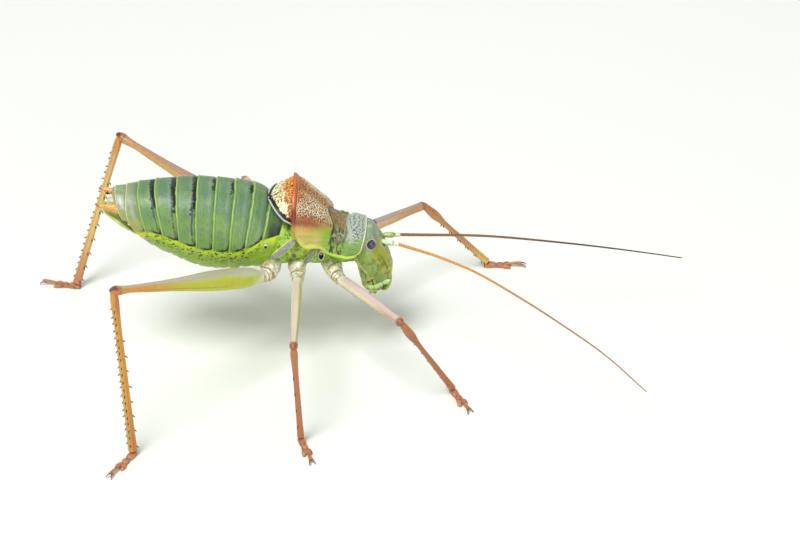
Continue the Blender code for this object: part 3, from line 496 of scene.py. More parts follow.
# plates and breathing holes of the flank, on frames of the trunk's surface: a bar is a long cushion with a
# groove inside each edge, a hole is a round cushion sunk in its middle, and the drop is one that is not
def makeFlank():
    plates = Shape()
    t = np.linspace(0, 1, 70)[:, None]
    full = (1 - np.abs(2 * t - 1) ** 5) ** 0.5
    ring = np.linspace(0, 1, 40)[:, None]
    for side in bothSides:
        for first, last, half, thick in flank["bars"]:
            places = np.array(first) + t * (np.array(last) - first)
            line, above = np.array([flankFrame(*place, side)[:2] for place in places]).swapaxes(0, 1)
            across = unit(np.cross(above, unit(np.gradient(line, axis=0))))
            rise, out = roundBox(around(56, -np.pi), 3.2)
            inner = ease(0.62 - np.abs(out), 0, 0.12) * (rise > 0)
            groove = 0.1 * hump(np.abs(out), 0.66, 0.1) * (rise > 0) * full
            lift = flank["raised"] + rise * thick * full - groove
            line, above, across = line[:, None], above[:, None], across[:, None]
            grid = line + across * (out * half * full)[..., None] + above * lift[..., None]
            grid = grid + above * (inner * 0.05 * lumps(grid, 0.12, 73))[..., None]
            plates.add(grid, (inner, np.abs(out), 0))
        for place, half, long, tilt in (*flank["slits"], flank["drop"]):
            spot, out, down, front = flankFrame(*place, side)
            tilt = np.radians(tilt)
            along = down * np.cos(tilt) + front * np.sin(tilt)
            across = front * np.cos(tilt) - down * np.sin(tilt)
            turn = around(64, -np.pi)
            hole = place != flank["drop"][0]
            lift = 0.16 * hump(ring, 0.62, 0.26) - 0.2 * hump(ring, 0, 0.4) if hole else 0.16 * (1 - ring**2)
            lift = lift + flank["raised"] - 0.2 * ease(ring, 0.9, 1)
            swell = 1 if hole else 1 + 0.25 * np.cos(turn)
            long, half = long * ring * np.cos(turn), half * ring * np.sin(turn) * swell
            grid = spot + along * long[..., None] + across * half[..., None] + out * lift[..., None]
            plates.add(grid, (0, ring, 0), (2 if hole else 1, ring, 0), closed=False, flip=side == "right")
    plates.make("flankPlates", flankFinish(), "thorax")


# pale bars, grey inside a dark groove, and holes in pale rings painted black inside as the shade of their
# openings, by distance from their middles
def flankFinish():
    look = Finish("flank plates", rough=0.4, coat=0.1, under=0.05)
    inner, out, _ = look.mark("skin")
    kind, along, _ = look.mark("tone")
    fine, broad = look.noise(7, 4), look.noise(2.4, 3)
    bar = layers(
        (0.62, 0.6, 0.34),
        ((0.4, 0.52, 0.1), ease(broad, 0.4, 0.65)),
        (mix((0.3, 0.34, 0.33), (0.17, 0.2, 0.17), ease(fine, 0.42, 0.6)), inner),
        ((0.05, 0.05, 0.03), hump(out, 0.64, 0.09) * 0.85),
    )
    drop = mix((0.1, 0.08, 0.03), (0.4, 0.42, 0.14), ease(along, 0.55, 0.8))
    # painted shade: near black inside each breathing hole
    hole = mix((0.004, 0.004, 0.004), (0.66, 0.66, 0.42), ease(along + (fine - 0.5) * 0.1, 0.56, 0.68))
    hole = mix(hole, (0.12, 0.14, 0.05), ease(along, 0.82, 0.95) * 0.8)
    colour = mix(mix(bar, drop, ease(kind, 0.4, 0.6)), hole, ease(kind, 1.4, 1.6))
    return look.done(colour, fine, 0.03)


saddle = {
    # how far back, the middle's height, the reach up, the lower edge's height, the half width, the lean
    "rows": (
        (3.52, 10.1, 2.45, 11.1, 2.5, 25), (3.75, 10.17, 2.5, 10.65, 2.51, 24.6),
        (4.1, 10.3, 2.53, 10.5, 2.52, 24), (5.0, 10.65, 2.38, 10.65, 2.56, 21),
        (5.7, 10.95, 2.38, 11.0, 2.64, 18.5), (6.2, 11.18, 2.8, 11.4, 2.75, 17),
        (6.6, 11.38, 3.28, 11.85, 2.88, 15.5), (7.1, 11.6, 3.66, 12.1, 3.05, 13),
        (7.9, 11.95, 4.24, 12.3, 3.22, 11), (8.45, 12.15, 4.62, 13.1, 3.32, 9.5),
        (9.08, 12.35, 4.9, 15.0, 3.42, 8),
    ),
    "boxy": 2.5, "grid": (190, 250), "thick": 0.3,
    # where the hood turns down to its side lobe, in degrees from the top
    "fold": ((5.6, 31), (6.2, 38.5), (6.6, 42.5), (7.0, 45.5), (7.6, 49), (8.2, 52.5), (9.1, 57)),
    # where each cross furrow lies at the top and farther down, by degrees from the top
    "rearFurrow": ((0, 6.4), (10, 6.2), (20, 5.92), (40, 5.87), (60, 6.0), (90, 6.1)),
    "frontFurrow": ((0, 5.02), (10, 4.97), (20, 4.87), (44, 4.62), (72, 4.69), (95, 4.85)),
}


# the collar: sections as in roundBox, from one lower edge over the back to the other, with furrows, wrinkles,
# pits sunk into the hood, a fold along each side and a thick rear ridge
def makeSaddle():
    rows, columns = saddle["grid"]
    front, rear = saddle["rows"][0][0], saddle["rows"][-1][0]
    back = np.linspace(front, rear, rows)[:, None]
    height, high, edge, wide, lean = glide(saddle["rows"], back)
    drop = np.clip((edge - height) / (high * np.cos(np.radians(lean))), -0.6, 0.95)
    reach = np.arccos(np.sign(drop) * np.abs(drop) ** (saddle["boxy"] / 2))
    share = np.linspace(-1, 1, columns)[None, :]
    turn = reach * share
    rise, out = roundBox(turn, saddle["boxy"])
    grid = leaning(back, height, lean, rise * high, out * wide)
    back = np.broadcast_to(back, turn.shape)
    span = np.abs(np.degrees(turn))
    fromEdge = (1 - np.abs(share)) * reach * wide
    fromRear, fromFront = rear - back, back - front
    rim = np.minimum(fromRear, fromEdge + 0.7 * ease(8.9 - back, 0, 0.9))
    beyond = span - glide(saddle["fold"], back)[0]
    behind = back - glide(saddle["rearFurrow"], span)[0]
    between = back - glide(saddle["frontFurrow"], span)[0]
    hood = ease(behind, 0.0, 0.25)
    disc = hood * ease(-beyond, -3, 4)
    one, _ = cells(grid[..., 1] * 1.15, back + 0.35 * grid[..., 2], 0.165, 21)
    pit = ease(0.48 - one, 0, 0.2) * disc * ease(fromRear, 0.36, 0.5)
    lift = -0.07 * pit + hood * 0.02 * lumps(grid, 0.4, 34)
    lift += hood * (0.09 * hump(beyond, 0, 6) - 0.06 * hump(beyond, 10, 5)) * ease(fromRear, 0.1, 0.6)
    lift += hood * ease(beyond, 4, 14) * 0.015 * np.sin(beyond * 0.9 + 3 * lumps(grid, 0.8, 35))
    deepen = (0.4 + 0.6 * ease(fromEdge, 0.2, 1.0)) * (1 - 0.75 * ease(span, 44, 60))
    lift -= (0.17 * hump(behind, 0, 0.12) + 0.18 * hump(between, 0, 0.11)) * deepen
    middleBand = ease(between, 0.08, 0.2) * ease(-behind, 0.08, 0.2)
    wrinkle = lumps(grid * (2.6, 1, 0.6), 0.45, 31) + 0.6 * lumps(grid * (2.2, 1, 0.8), 0.22, 32)
    lift += middleBand * ease(fromEdge, 0.12, 0.3) * (0.08 * wrinkle - 0.04)
    lift -= middleBand * 0.1 * hump(span, 60, 10)
    frontBand = ease(-between, 0.1, 0.25) * ease(fromFront, 0.12, 0.2)
    near, far = cells(grid[..., 1] * 1.2, grid[..., 2] * 1.2 + back * 0.4, 0.24, 36)
    net = 1 - ease(far - near, 0.03, 0.28)
    lift += frontBand * (0.05 - 0.045 * net + 0.03 * lumps(grid, 0.7, 33))
    lift += 0.09 * hump(fromFront, 0.06, 0.08)
    lift += 0.07 * hump(fromEdge, 0.07, 0.09) * (back < 8.6) * ease(fromFront, 0.2, 0.6)
    lift += 0.13 * hump(rim, 0.17, 0.16)
    lift += 0.04 * hump(span, 0, 1.6) * hood * ease(fromRear, 0.3, 0.9)
    grid = grid - outwards(grid, False) * lift[..., None]
    tone = (pit + frontBand * net, np.where(behind > 0, rim, fromRear), beyond)
    collar = Shape().add(grid, (behind, span, fromEdge), tone, wrap=False, closed=False)
    collar.make("saddleShell", saddleFinish(), "saddle", ("saddle",), saddle["thick"])


# a pale net with dark pits above the fold, a yellow-green lobe below it, dark wrinkled bands in front
# and an orange ridge behind, each laid on by distance from its line. The pits' dark is partly painted shade,
# the rear furrow's near black is painted shade, and the ridge carries a painted highlight and painted shade
def saddleFinish():
    look = Finish("pitted collar", rough=0.4, coat=0.18, under=0.08)
    behind, span, edge = look.mark("skin")
    pit, rear, beyond = look.mark("tone")
    broad, fine = look.noise(1.1, 3), look.noise(7, 4)
    patches = look.noise(2.4, 3)
    hood = ease(behind, 0.0, 0.12)
    disc = hood * ease(beyond, 4, -2)
    # the hood: a pale net with dark pits, partly pigment and partly painted shade, warmer towards the ridge
    # and the top
    ground = layers(
        (0.7, 0.56, 0.38),
        ((0.54, 0.38, 0.2), ease(patches, 0.4, 0.7)),
        ((0.5, 0.5, 0.22), ease(behind, 1.3, 0.3) * 0.55),
        ((0.55, 0.2, 0.05), ease(rear, 1.7, 0.3) * ease(span, 42, 14) * 0.9),
        ((0.42, 0.17, 0.05), ease(span, 12, 4) * 0.7),
        ((0.45, 0.16, 0.04), ease(beyond, -14, -3) * 0.7),
    )
    # the pits' dark brown is partly pigment and partly painted shade in the sunk pits
    pits = ease(pit + (fine - 0.5) * 0.35, 0.36, 0.66) * ease(behind, 0.05, 0.3)
    ground = mix(ground, (0.075, 0.022, 0.01), pits * 0.9)
    # the smooth side lobe, yellow-green below and warm under the fold
    streaks = look.noise(5, 3, (1.6, 1, 0.5))
    lobe = layers(
        (0.4, 0.4, 0.06),
        ((0.52, 0.42, 0.13), ease(broad, 0.35, 0.65)),
        ((0.55, 0.25, 0.05), ease(beyond + (streaks - 0.5) * 14, 26, 8) * ease(behind, 0.8, 2.2) * 0.9),
        ((0.56, 0.38, 0.09), ease(rear, 1.4, 0.2) * 0.8),
        ((0.2, 0.4, 0.02), ease(behind, 1.1, 0.3) * 0.85),
        ((0.5, 0.6, 0.07), ease(edge, 0.4, 0.15) * 0.85),
        ((0.62, 0.4, 0.1), ease(edge, 0.12, 0.04) * 0.8),
    )
    colour = mix(lobe, ground, disc)
    # the brown fold between them
    fold = hump(beyond + (streaks - 0.5) * 9, 4, 13) * hood * ease(behind, 0.1, 1.6)
    colour = mix(colour, (0.24, 0.045, 0.005), fold * 0.92)
    # wrinkled middle and front bands
    crease = look.noise(3.0, 4, (1.8, 1, 0.6))
    middleBand = layers(
        (0.17, 0.2, 0.07),
        ((0.035, 0.028, 0.015), ease(crease, 0.46, 0.58)),
        ((0.34, 0.36, 0.24), ease(look.noise(4.4, 3, (1.8, 1, 0.6)), 0.56, 0.7) * 0.8),
        ((0.26, 0.15, 0.05), ease(span, 27, 12) * 0.75),
        ((0.22, 0.42, 0.02), ease(edge, 1.6, 0.5) * ease(crease, 0.56, 0.5) * 0.9),
        ((0.4, 0.6, 0.04), ease(edge, 0.24, 0.12)),
    )
    colour = mix(colour, middleBand, 1 - hood)
    frontBand = layers(
        (0.4, 0.45, 0.39),
        ((0.05, 0.075, 0.06), ease(pit + (fine - 0.5) * 0.3, 0.3, 0.7)),
        ((0.16, 0.3, 0.035), ease(edge + (broad - 0.5) * 1.2, 2.2, 1.1) * 0.9),
        ((0.62, 0.66, 0.36), ease(rear, 5.44, 5.5)),
        ((0.5, 0.66, 0.06), ease(edge, 0.26, 0.12)),
    )
    colour = mix(colour, frontBand, ease(rear, 3.85, 4.3) * ease(behind, -0.9, -1.1))
    # painted shade: near black in the rear cross furrow, fading out low on the sides
    furrows = hump(behind, 0.0, 0.14) * ease(span, 52, 44)
    colour = mix(colour, (0.02, 0.014, 0.008), furrows * ease(edge, 0.9, 2.0) * 0.9)
    # the rear ridge: hot orange, dark red lower down, with a painted highlight along its crest and painted
    # shade, near black, along its front edge
    ridge = ease(rear + (fine - 0.5) * 0.08, 0.4, 0.3)
    ridgeColour = layers(
        (0.46, 0.09, 0.01),
        ((0.25, 0.03, 0.006), ease(span, 36, 56)),
        # painted highlight: brighter orange along the ridge's crest
        ((0.6, 0.17, 0.02), hump(rear, 0.13, 0.1) * ease(span, 56, 36) * 0.45),
        # painted shade: near black along the ridge's front edge
        ((0.12, 0.015, 0.004), ease(rear, 0.26, 0.34) * 0.8),
        ((0.15, 0.018, 0.005), hump(span, 51, 12) * 0.8),
        ((0.52, 0.4, 0.08), ease(span, 61, 71)),
    )
    colour = mix(colour, ridgeColour, ridge)
    height = fine * 0.6 + look.noise(20, 3) * 0.3
    rough = ease(broad, 0.2, 0.8) * 0.15 + 0.28
    return look.done(colour, height, 0.04, rough)


dome = {
    # how far back, the middle's height, the reach up, the half width, the lean
    "rows": ((8.4, 12.15, 4.6, 2.6, 9.5), (8.9, 12.22, 4.92, 2.85, 8.7), (9.3, 12.3, 4.74, 3.0, 8),
             (9.7, 12.33, 4.44, 3.08, 7.5), (10.2, 12.35, 4.1, 3.17, 7), (11.2, 12.35, 3.42, 3.22, 6)),
    # where the hind edge lies, by degrees from the top
    "ends": ((0, 11.16), (16, 10.9), (32, 10.56), (48, 10.08), (60, 9.52), (65, 9.14), (70, 8.76)),
    "boxy": 2.3, "front": 8.72, "side": 69.5, "lap": 5, "sink": 0.14,
    "grid": (180, 190), "thick": 0.16,
}


# a wing case: a patch of a dome behind the collar, cut off at its hind edge, with pits sunk in its net, a
# groove for its dark border and a rolled rim. The left one lies over the right.
def makeCase(side):
    rows, columns = dome["grid"]
    sign = 1 if side == "left" else -1
    across = np.radians(np.linspace(-dome["lap"], dome["side"], columns))[None, :] * sign
    along = np.linspace(0, 1, rows)[:, None]
    span = np.abs(np.degrees(across))
    ends = glide(dome["ends"], span)[0]
    slope = np.gradient(ends[0], span[0])[None, :]
    back = dome["front"] + along * (ends - dome["front"])
    across = np.broadcast_to(across, back.shape)
    sink = 0
    if side == "right":
        sink = dome["sink"] * ease(across, -np.radians(dome["lap"] + 8), -np.radians(dome["lap"]))
    height, high, wide, lean = glide(dome["rows"], back)
    rise, out = roundBox(across, dome["boxy"])
    grid = leaning(back, height, lean, rise * (high - sink), out * (wide - sink))
    edge = (ends - back) / np.hypot(1, slope / 0.055)
    one, _ = cells(grid[..., 1] * 1.2, back + 0.4 * grid[..., 2], 0.18, 41)
    pit = ease(0.5 - one, 0, 0.2)
    inside = ease(edge, 0.3, 0.42)
    lift = inside * (0.03 * lumps(grid, 0.5, 42) - 0.045 * pit)
    lift += 0.07 * hump(edge, 0.04, 0.07) - 0.05 * hump(edge, 0.22, 0.12)
    lift += inside * (0.04 * hump(span, 24, 1.5) + 0.04 * hump(span, 42, 1.4))
    grid = grid - outwards(grid, False) * sign * lift[..., None]
    flip = side == "right"
    case = Shape().add(grid, (edge, span, back), (pit, 0, 0), wrap=False, closed=False, flip=flip)
    name = "wingCase" + side.capitalize()
    case.make(name, caseFinish(side), "wing_case", ("wing_case_" + side,), dome["thick"])


# pale cells round brown pits, warmer towards the collar, then a black border and a grey rim by distance
# from the edge
def caseFinish(side):
    look = Finish("netted wing case " + side, rough=0.42, coat=0.08, under=0.08)
    edge, span, back = look.mark("skin")
    pit, _, _ = look.mark("tone")
    broad, fine = look.noise(1.2, 3), look.noise(7, 4)
    patches = look.noise(2.6, 3)
    upper = ease(span + (broad - 0.5) * 22, 42, 14)
    nearRidge = ease(back + (broad - 0.5) * 0.8 - upper * 0.5, 9.6, 9.1)
    warm = nearRidge + upper * 0.25
    seen = ease(look.noise(1.6, 2), 0.35, 0.6) * 0.6 + warm + ease(span, 34, 20)
    pits = ease(pit + (fine - 0.5) * 0.6, 0.42, 0.74) * ease(seen, 0.2, 0.8)
    colour = layers(
        (0.9, 0.8, 0.4),
        ((0.88, 0.87, 0.66), ease(patches, 0.4, 0.6)),
        ((0.74, 0.3, 0.03), nearRidge * 0.95),
        ((0.16, 0.05, 0.015), pits * 0.88),
        ((0.004, 0.003, 0.003), ease(edge + (look.noise(3.6, 3) - 0.5) * 0.3, 0.36, 0.27)),
        ((0.5, 0.48, 0.46), ease(edge + (fine - 0.5) * 0.03, 0.12, 0.08)),
    )
    return look.done(colour, fine + look.noise(20, 2) * 0.4, 0.03, ease(fine, 0.2, 0.8) * 0.15 + 0.34)


head = {
    "crown": 12.22,
    # drop below the crown, the section's front and back, its half width
    "rows": ((0.0, -2.06, -3.0, 0.7), (0.22, -1.84, -3.4, 1.3), (0.7, -1.58, -3.85, 1.64),
             (1.3, -1.42, -4.0, 1.82), (2.1, -1.12, -3.95, 2.04), (3.05, -0.82, -3.66, 2.16),
             (3.6, -0.7, -3.3, 2.08), (4.2, -0.67, -2.95, 1.86), (4.8, -0.7, -2.7, 1.6),
             (5.4, -0.82, -2.45, 1.3)),
    "deep": 5.4, "grid": (240, 240), "face": 2.2, "nape": 3.2,
    # the left eye and feeler root, the knob between the feelers and the boss above the mouth shield
    "eye": (-2.14, 1.6, 11.13), "eyeRadius": 0.38, "feeler": (-1.02, 0.52, 10.62),
    "knob": (-1.3, 0, 11.25), "boss": (-0.85, 0, 10.1),
}


# the head: level sections, rounder in front than behind, with a ring and hollow at each eye and feeler root,
# a knob between the feelers, grooves round the mouth shield and a rim along the cheek's hind edge
def makeHead():
    rows, columns = head["grid"]
    drop = np.linspace(0, 1, rows)[:, None] ** 1.15 * head["deep"]
    turn = around(columns, -np.pi)
    front, rear, wide = glide(head["rows"], drop)
    ahead, out = roundBox(turn, head["face"])
    behind, outBehind = roundBox(turn, head["nape"])
    centre = rear + 0.4 * (front - rear)
    facing = ahead > 0
    x = centre + np.where(facing, ahead * (front - centre), behind * (centre - rear))
    y = np.where(facing, out, outBehind) * wide
    z = np.broadcast_to(head["crown"] - drop, x.shape)
    grid = np.stack([x, y, z], -1)
    twin = np.stack([x, np.abs(y), z], -1)
    fromEye, fromFeeler = (np.linalg.norm(twin - head[word], axis=-1) for word in ("eye", "feeler"))
    lift = 0.05 * hump(fromEye, 0.49, 0.07) - 0.3 * ease(-fromEye, -0.43, -0.23)
    lift += 0.1 * hump(fromFeeler, 0.5, 0.12)
    lift += 0.26 * hump(np.linalg.norm(grid - head["knob"], axis=-1), 0, 0.36)
    lift += 0.12 * hump(np.linalg.norm((grid - head["boss"]) * (1, 1, 0.6), axis=-1), 0, 0.4)
    suture = np.abs(y) - (1.35 + 0.12 * (z - 8.6))
    low = ease(10.3 - z, 0, 0.8)
    lift -= 0.07 * hump(suture, 0, 0.06) * low * facing
    lift -= 0.08 * hump(z, 8.45 - 0.25 * np.cos(y * 1.3), 0.07) * facing * (np.abs(y) < 1.35)
    lift += 0.07 * hump(z, 7.9, 0.45) * facing * (np.abs(y) < 1.1)
    lift -= 0.06 * hump(np.abs(y), 0.95, 0.07) * facing * (z < 9.9)
    fromNape = x - rear + 0.5 * (2.4 - np.abs(y))
    lift += (0.09 * hump(x - rear, 0.1, 0.14) - 0.05 * hump(x - rear, 0.4, 0.12)) * ease(10.8 - z, 0, 0.6)
    lift += 0.03 * lumps(grid, 0.7, 51) + 0.012 * lumps(grid, 0.25, 52)
    grid = grid + outwards(grid) * lift[..., None] * headOut(grid)
    skull = Shape().add(grid, (np.abs(np.degrees(turn)), fromEye, fromFeeler), (suture * low, z, fromNape))
    skull.make("headSkin", headFinish(), "head", ("head",))


# 1 where the grid's own normals point out of it, otherwise -1
def headOut(grid):
    middleRow = grid.shape[0] // 2
    away = grid[middleRow] - grid[middleRow].mean(0)
    return 1.0 if np.sum(away * outwards(grid)[middleRow]) > 0 else -1.0


# greens by height and turn from the front, dark cracks low down, rims by distance from eye and feeler, and
# painted shade in the hollows round each eye and feeler root
def headFinish():
    look = Finish("green head", rough=0.34, coat=0.1, under=0.12)
    turn, eye, feeler = look.mark("skin")
    suture, height, nape = look.mark("tone")
    broad, fine = look.noise(1.3, 3), look.noise(8, 4)
    crown, cheek, face = (0.22, 0.27, 0.17), (0.25, 0.34, 0.06), (0.34, 0.35, 0.015)
    blotch = look.noise(1.7, 4, (1, 1, 0.7))
    cracks = ease(look.noise(2.4, 4, (1, 1, 0.6)), 0.55, 0.66)
    olive = ease(look.noise(2.0, 3), 0.5, 0.7) * ease(turn, 84, 60)
    colour = layers(
        cheek,
        (crown, ease(height + (broad - 0.5) * 1.2, 10.2, 11.6)),
        ((0.24, 0.34, 0.24), ease(broad, 0.45, 0.7) * ease(height, 10.4, 11.4) * 0.6),
        (face, ease(turn + (broad - 0.5) * 26, 76, 50) * ease(height, 11.2, 10.3)),
        ((0.2, 0.26, 0.02), olive * ease(height, 10.6, 9.6)),
        ((0.42, 0.46, 0.08), ease(height, 8.9, 8.3) * ease(turn, 70, 50) * 0.7),
        ((0.4, 0.46, 0.26), ease(blotch, 0.54, 0.64) * ease(height, 10.2, 11) * 0.7),
        ((0.09, 0.13, 0.02), ease(blotch, 0.46, 0.4) * ease(height, 11.2, 10.4) * 0.6),
        ((0.11, 0.05, 0.012), cracks * ease(height, 10.0, 8.8) * ease(turn, 105, 72) * 0.85),
        ((0.05, 0.05, 0.015), hump(suture, 0.0, 0.1) * ease(turn, 96, 86) * ease(height, 10.2, 9.6) * 0.7),
        ((0.58, 0.62, 0.16), hump(nape, 0.6, 0.16) * ease(height, 10.4, 9.8) * 0.8),
        ((0.7, 0.68, 0.56), hump(eye, 0.47, 0.055)),
        # painted shade: dark in the hollows where the eyes and feeler roots sit
        ((0.02, 0.02, 0.02), ease(eye, 0.44, 0.4)),
        ((0.05, 0.05, 0.02), ease(feeler, 0.46, 0.38)),
        ((0.3, 0.4, 0.2), hump(feeler, 0.55, 0.09) * 0.8),
        ((0.03, 0.035, 0.02), hump(feeler, 0.8, 0.12) * hump(eye, 0.72, 0.14)),
    )
    return look.done(colour, fine * 0.6 + look.noise(22, 2) * 0.3, 0.03, ease(fine, 0.2, 0.8) * 0.12 + 0.3)


# an eye: a ball set in its hollow
def makeEye(side):
    spot = mirrored(head["eye"], side)
    turn = np.linspace(0, np.pi, 60)[1:-1]
    radius = head["eyeRadius"]
    path = spot + np.outer(-np.cos(turn) * radius, ahead)
    ball = Shape().add(tube(path, np.sin(turn) * radius, 90))
    look = Finish("eye " + side, rough=0.12, coat=0.6, under=0.0)
    facets = look.cells(26, "DISTANCE_TO_EDGE")
    shade = look.noise(2.5, 2, (0.5, 1, 1))
    colour = mix((0.016, 0.012, 0.035), (0.07, 0.055, 0.11), ease(shade, 0.35, 0.7))
    look.done(colour, ease(facets, 0.0, 0.12), 0.006)
    ball.make("eye" + side.capitalize(), look.material, "eye", ("eye_" + side,))


feelers = {
    "joints": 110, "rings": 6, "stemEnd": 1.28, "thick": 0.15, "thin": 0.05,
    # the two stout joints: places along them from the root, and the radius at each
    "stem": ((-0.45, 0.0, 0.12, 0.4, 0.65, 0.74, 0.78, 0.84, 0.95, 1.15, 1.25, 1.3),
             (0.18, 0.22, 0.25, 0.26, 0.24, 0.18, 0.15, 0.18, 0.2, 0.2, 0.17, 0.12)),
    "paths": {
        "right": ((0.75, -1.25, 10.6), (3.79, -3.0, 10.35), (6.92, -5.0, 9.9), (9.63, -7.0, 9.2),
                  (13.97, -10.0, 7.55), (17.2, -12.2, 6.0), (20.6, -14.6, 3.6)),
        "left": ((0.75, 0.72, 10.4), (1.93, 0.8, 10.22), (7.1, 1.2, 9.47), (13.98, 1.6, 7.98),
                 (19.15, 1.9, 6.66), (24.5, 2.2, 5.15)),
    },
}


# a feeler: two stout joints, then a thread of many short ones, each a little wider at its far end
def makeFeeler(side):
    root = mirrored(head["feeler"], side)
    start = np.array(feelers["paths"][side][0])
    run = unit(start - root)
    where, radii = feelers["stem"]
    places = np.linspace(where[0], where[-1], 48)
    stem = tube(root + places[:, None] * run, np.interp(places, where, radii), 20)
    rod = Shape().add(stem, (places[:, None], 0, 0))
    rod.make("feelerBase" + side.capitalize(), feelerBaseFinish(side), "feeler", ("scape_" + side,))
    per = feelers["rings"]
    count = feelers["joints"] * per
    path = curve([root + run * feelers["stemEnd"], *feelers["paths"][side][1:]], count)
    along = np.linspace(0, 1, count)
    inJoint = (np.arange(count) % per) / per
    wide = feelers["thick"] + (feelers["thin"] - feelers["thick"]) * along**0.8
    wide = wide * (0.9 + 0.16 * inJoint - 0.14 * (inJoint > 0.8))
    thread = Shape().add(tube(path, wide), (along[:, None], inJoint[:, None], 0))
    thread.make("feeler" + side.capitalize(), feelerFinish(side), "feeler", ("feeler_" + side,))


# two greens by noise, with a dark joint and a pale end by the place along it
def feelerBaseFinish(side):
    look = Finish("feeler base " + side, rough=0.35, coat=0.2)
    place, _, _ = look.mark("skin")
    broad, fine = look.noise(3, 3), look.noise(10, 3)
    pale, deep = (0.66, 0.78, 0.6), (0.4, 0.56, 0.36)
    if side == "left":
        pale, deep = (0.42, 0.5, 0.16), (0.2, 0.3, 0.06)
    colour = layers(
        pale,
        (deep, ease(broad, 0.4, 0.7)),
        ((0.12, 0.08, 0.03), hump(place, 0.77, 0.06) * 0.8),
        ((0.75, 0.8, 0.6), ease(place, 0.84, 0.94) * 0.6),
    )
    return look.done(colour, fine, 0.02)


# one colour into another along the thread, each joint dark where it starts and pale where it ends
def feelerFinish(side):
    look = Finish("feeler thread " + side, rough=0.45)
    along, joint, _ = look.mark("skin")
    fine = look.noise(9, 3)
    if side == "right":
        first, last, ring = (0.56, 0.19, 0.02), (0.36, 0.15, 0.06), (0.85, 0.5, 0.14)
    else:
        first, last, ring = (0.2, 0.09, 0.03), (0.04, 0.018, 0.012), (0.34, 0.15, 0.05)
    colour = layers(
        first,
        (last, ease(along, 0.15, 0.7)),
        (ring, ease(joint, 0.45, 0.75) * ease(along, 0.75, 0.2) * 0.8),
        ((0.07, 0.02, 0.006), hump(joint, 0.04, 0.16) * 0.9),
    )
    return look.done(colour, fine, 0.02)


mouth = {
    # height, place along the body, half depth, half width and, for the pairs, offset out
    "lip": ((6.95, -1.0, 0.2, 0.95), (6.6, -1.05, 0.26, 0.9), (6.2, -1.12, 0.28, 0.84),
            (5.8, -1.3, 0.27, 0.74), (5.5, -1.5, 0.24, 0.55), (5.32, -1.66, 0.14, 0.3)),
    "under": ((8.9, -3.25, 0.2, 0.6), (8.4, -3.35, 0.3, 0.8), (7.8, -3.25, 0.4, 0.95),
              (6.9, -3.1, 0.42, 0.95), (6.1, -3.0, 0.42, 0.85), (5.6, -2.9, 0.27, 0.55)),
    "jaw": ((7.0, -1.8, 0.42, 0.62, 0.8), (6.48, -1.92, 0.4, 0.58, 0.72), (6.1, -1.98, 0.36, 0.5, 0.65),
            (5.75, -2.05, 0.3, 0.36, 0.48), (5.48, -2.1, 0.12, 0.15, 0.36)),
    # the second jaws, between mandibles and lower lip
    "second": ((8.6, -2.75, 0.2, 0.2, 1.2), (8.2, -2.7, 0.4, 0.4, 1.3), (7.6, -2.62, 0.52, 0.5, 1.25),
               (6.9, -2.5, 0.52, 0.5, 1.12), (6.3, -2.46, 0.46, 0.44, 0.98),
               (5.75, -2.45, 0.34, 0.32, 0.82), (5.35, -2.4, 0.14, 0.14, 0.7)),
    "grooves": (-2.4, -1.2, -0.3, 0.8, 2.0),  # radians round a second jaw
    "jawPalp": ((-2.9, 1.3, 6.75), (-2.75, 1.8, 6.95), (-2.3, 2.05, 7.0), (-1.6, 2.1, 7.3),
                (-0.85, 2.05, 7.66)),
    "lipPalp": ((-2.9, 0.5, 5.3), (-2.75, 0.7, 4.75), (-2.38, 0.8, 4.33)),
}


# level sections down a table of height, place along the body, half depth, half width and, where given,
# offset out
def levels(rows, side="left", columns=48, count=40, boxy=2.4):
    rows = np.array(rows)[::-1]
    z = np.linspace(rows[-1, 0], rows[0, 0], count)[:, None]
    values = glide(rows, z)
    x, deep, wide = values[:3]
    out = values[3] if len(values) > 3 else 0
    ahead, across = roundBox(around(columns, -np.pi), boxy)
    grid = np.stack([x + ahead * deep, out + across * wide, np.broadcast_to(z, (count, columns))], -1)
    return mirrored(grid, side)


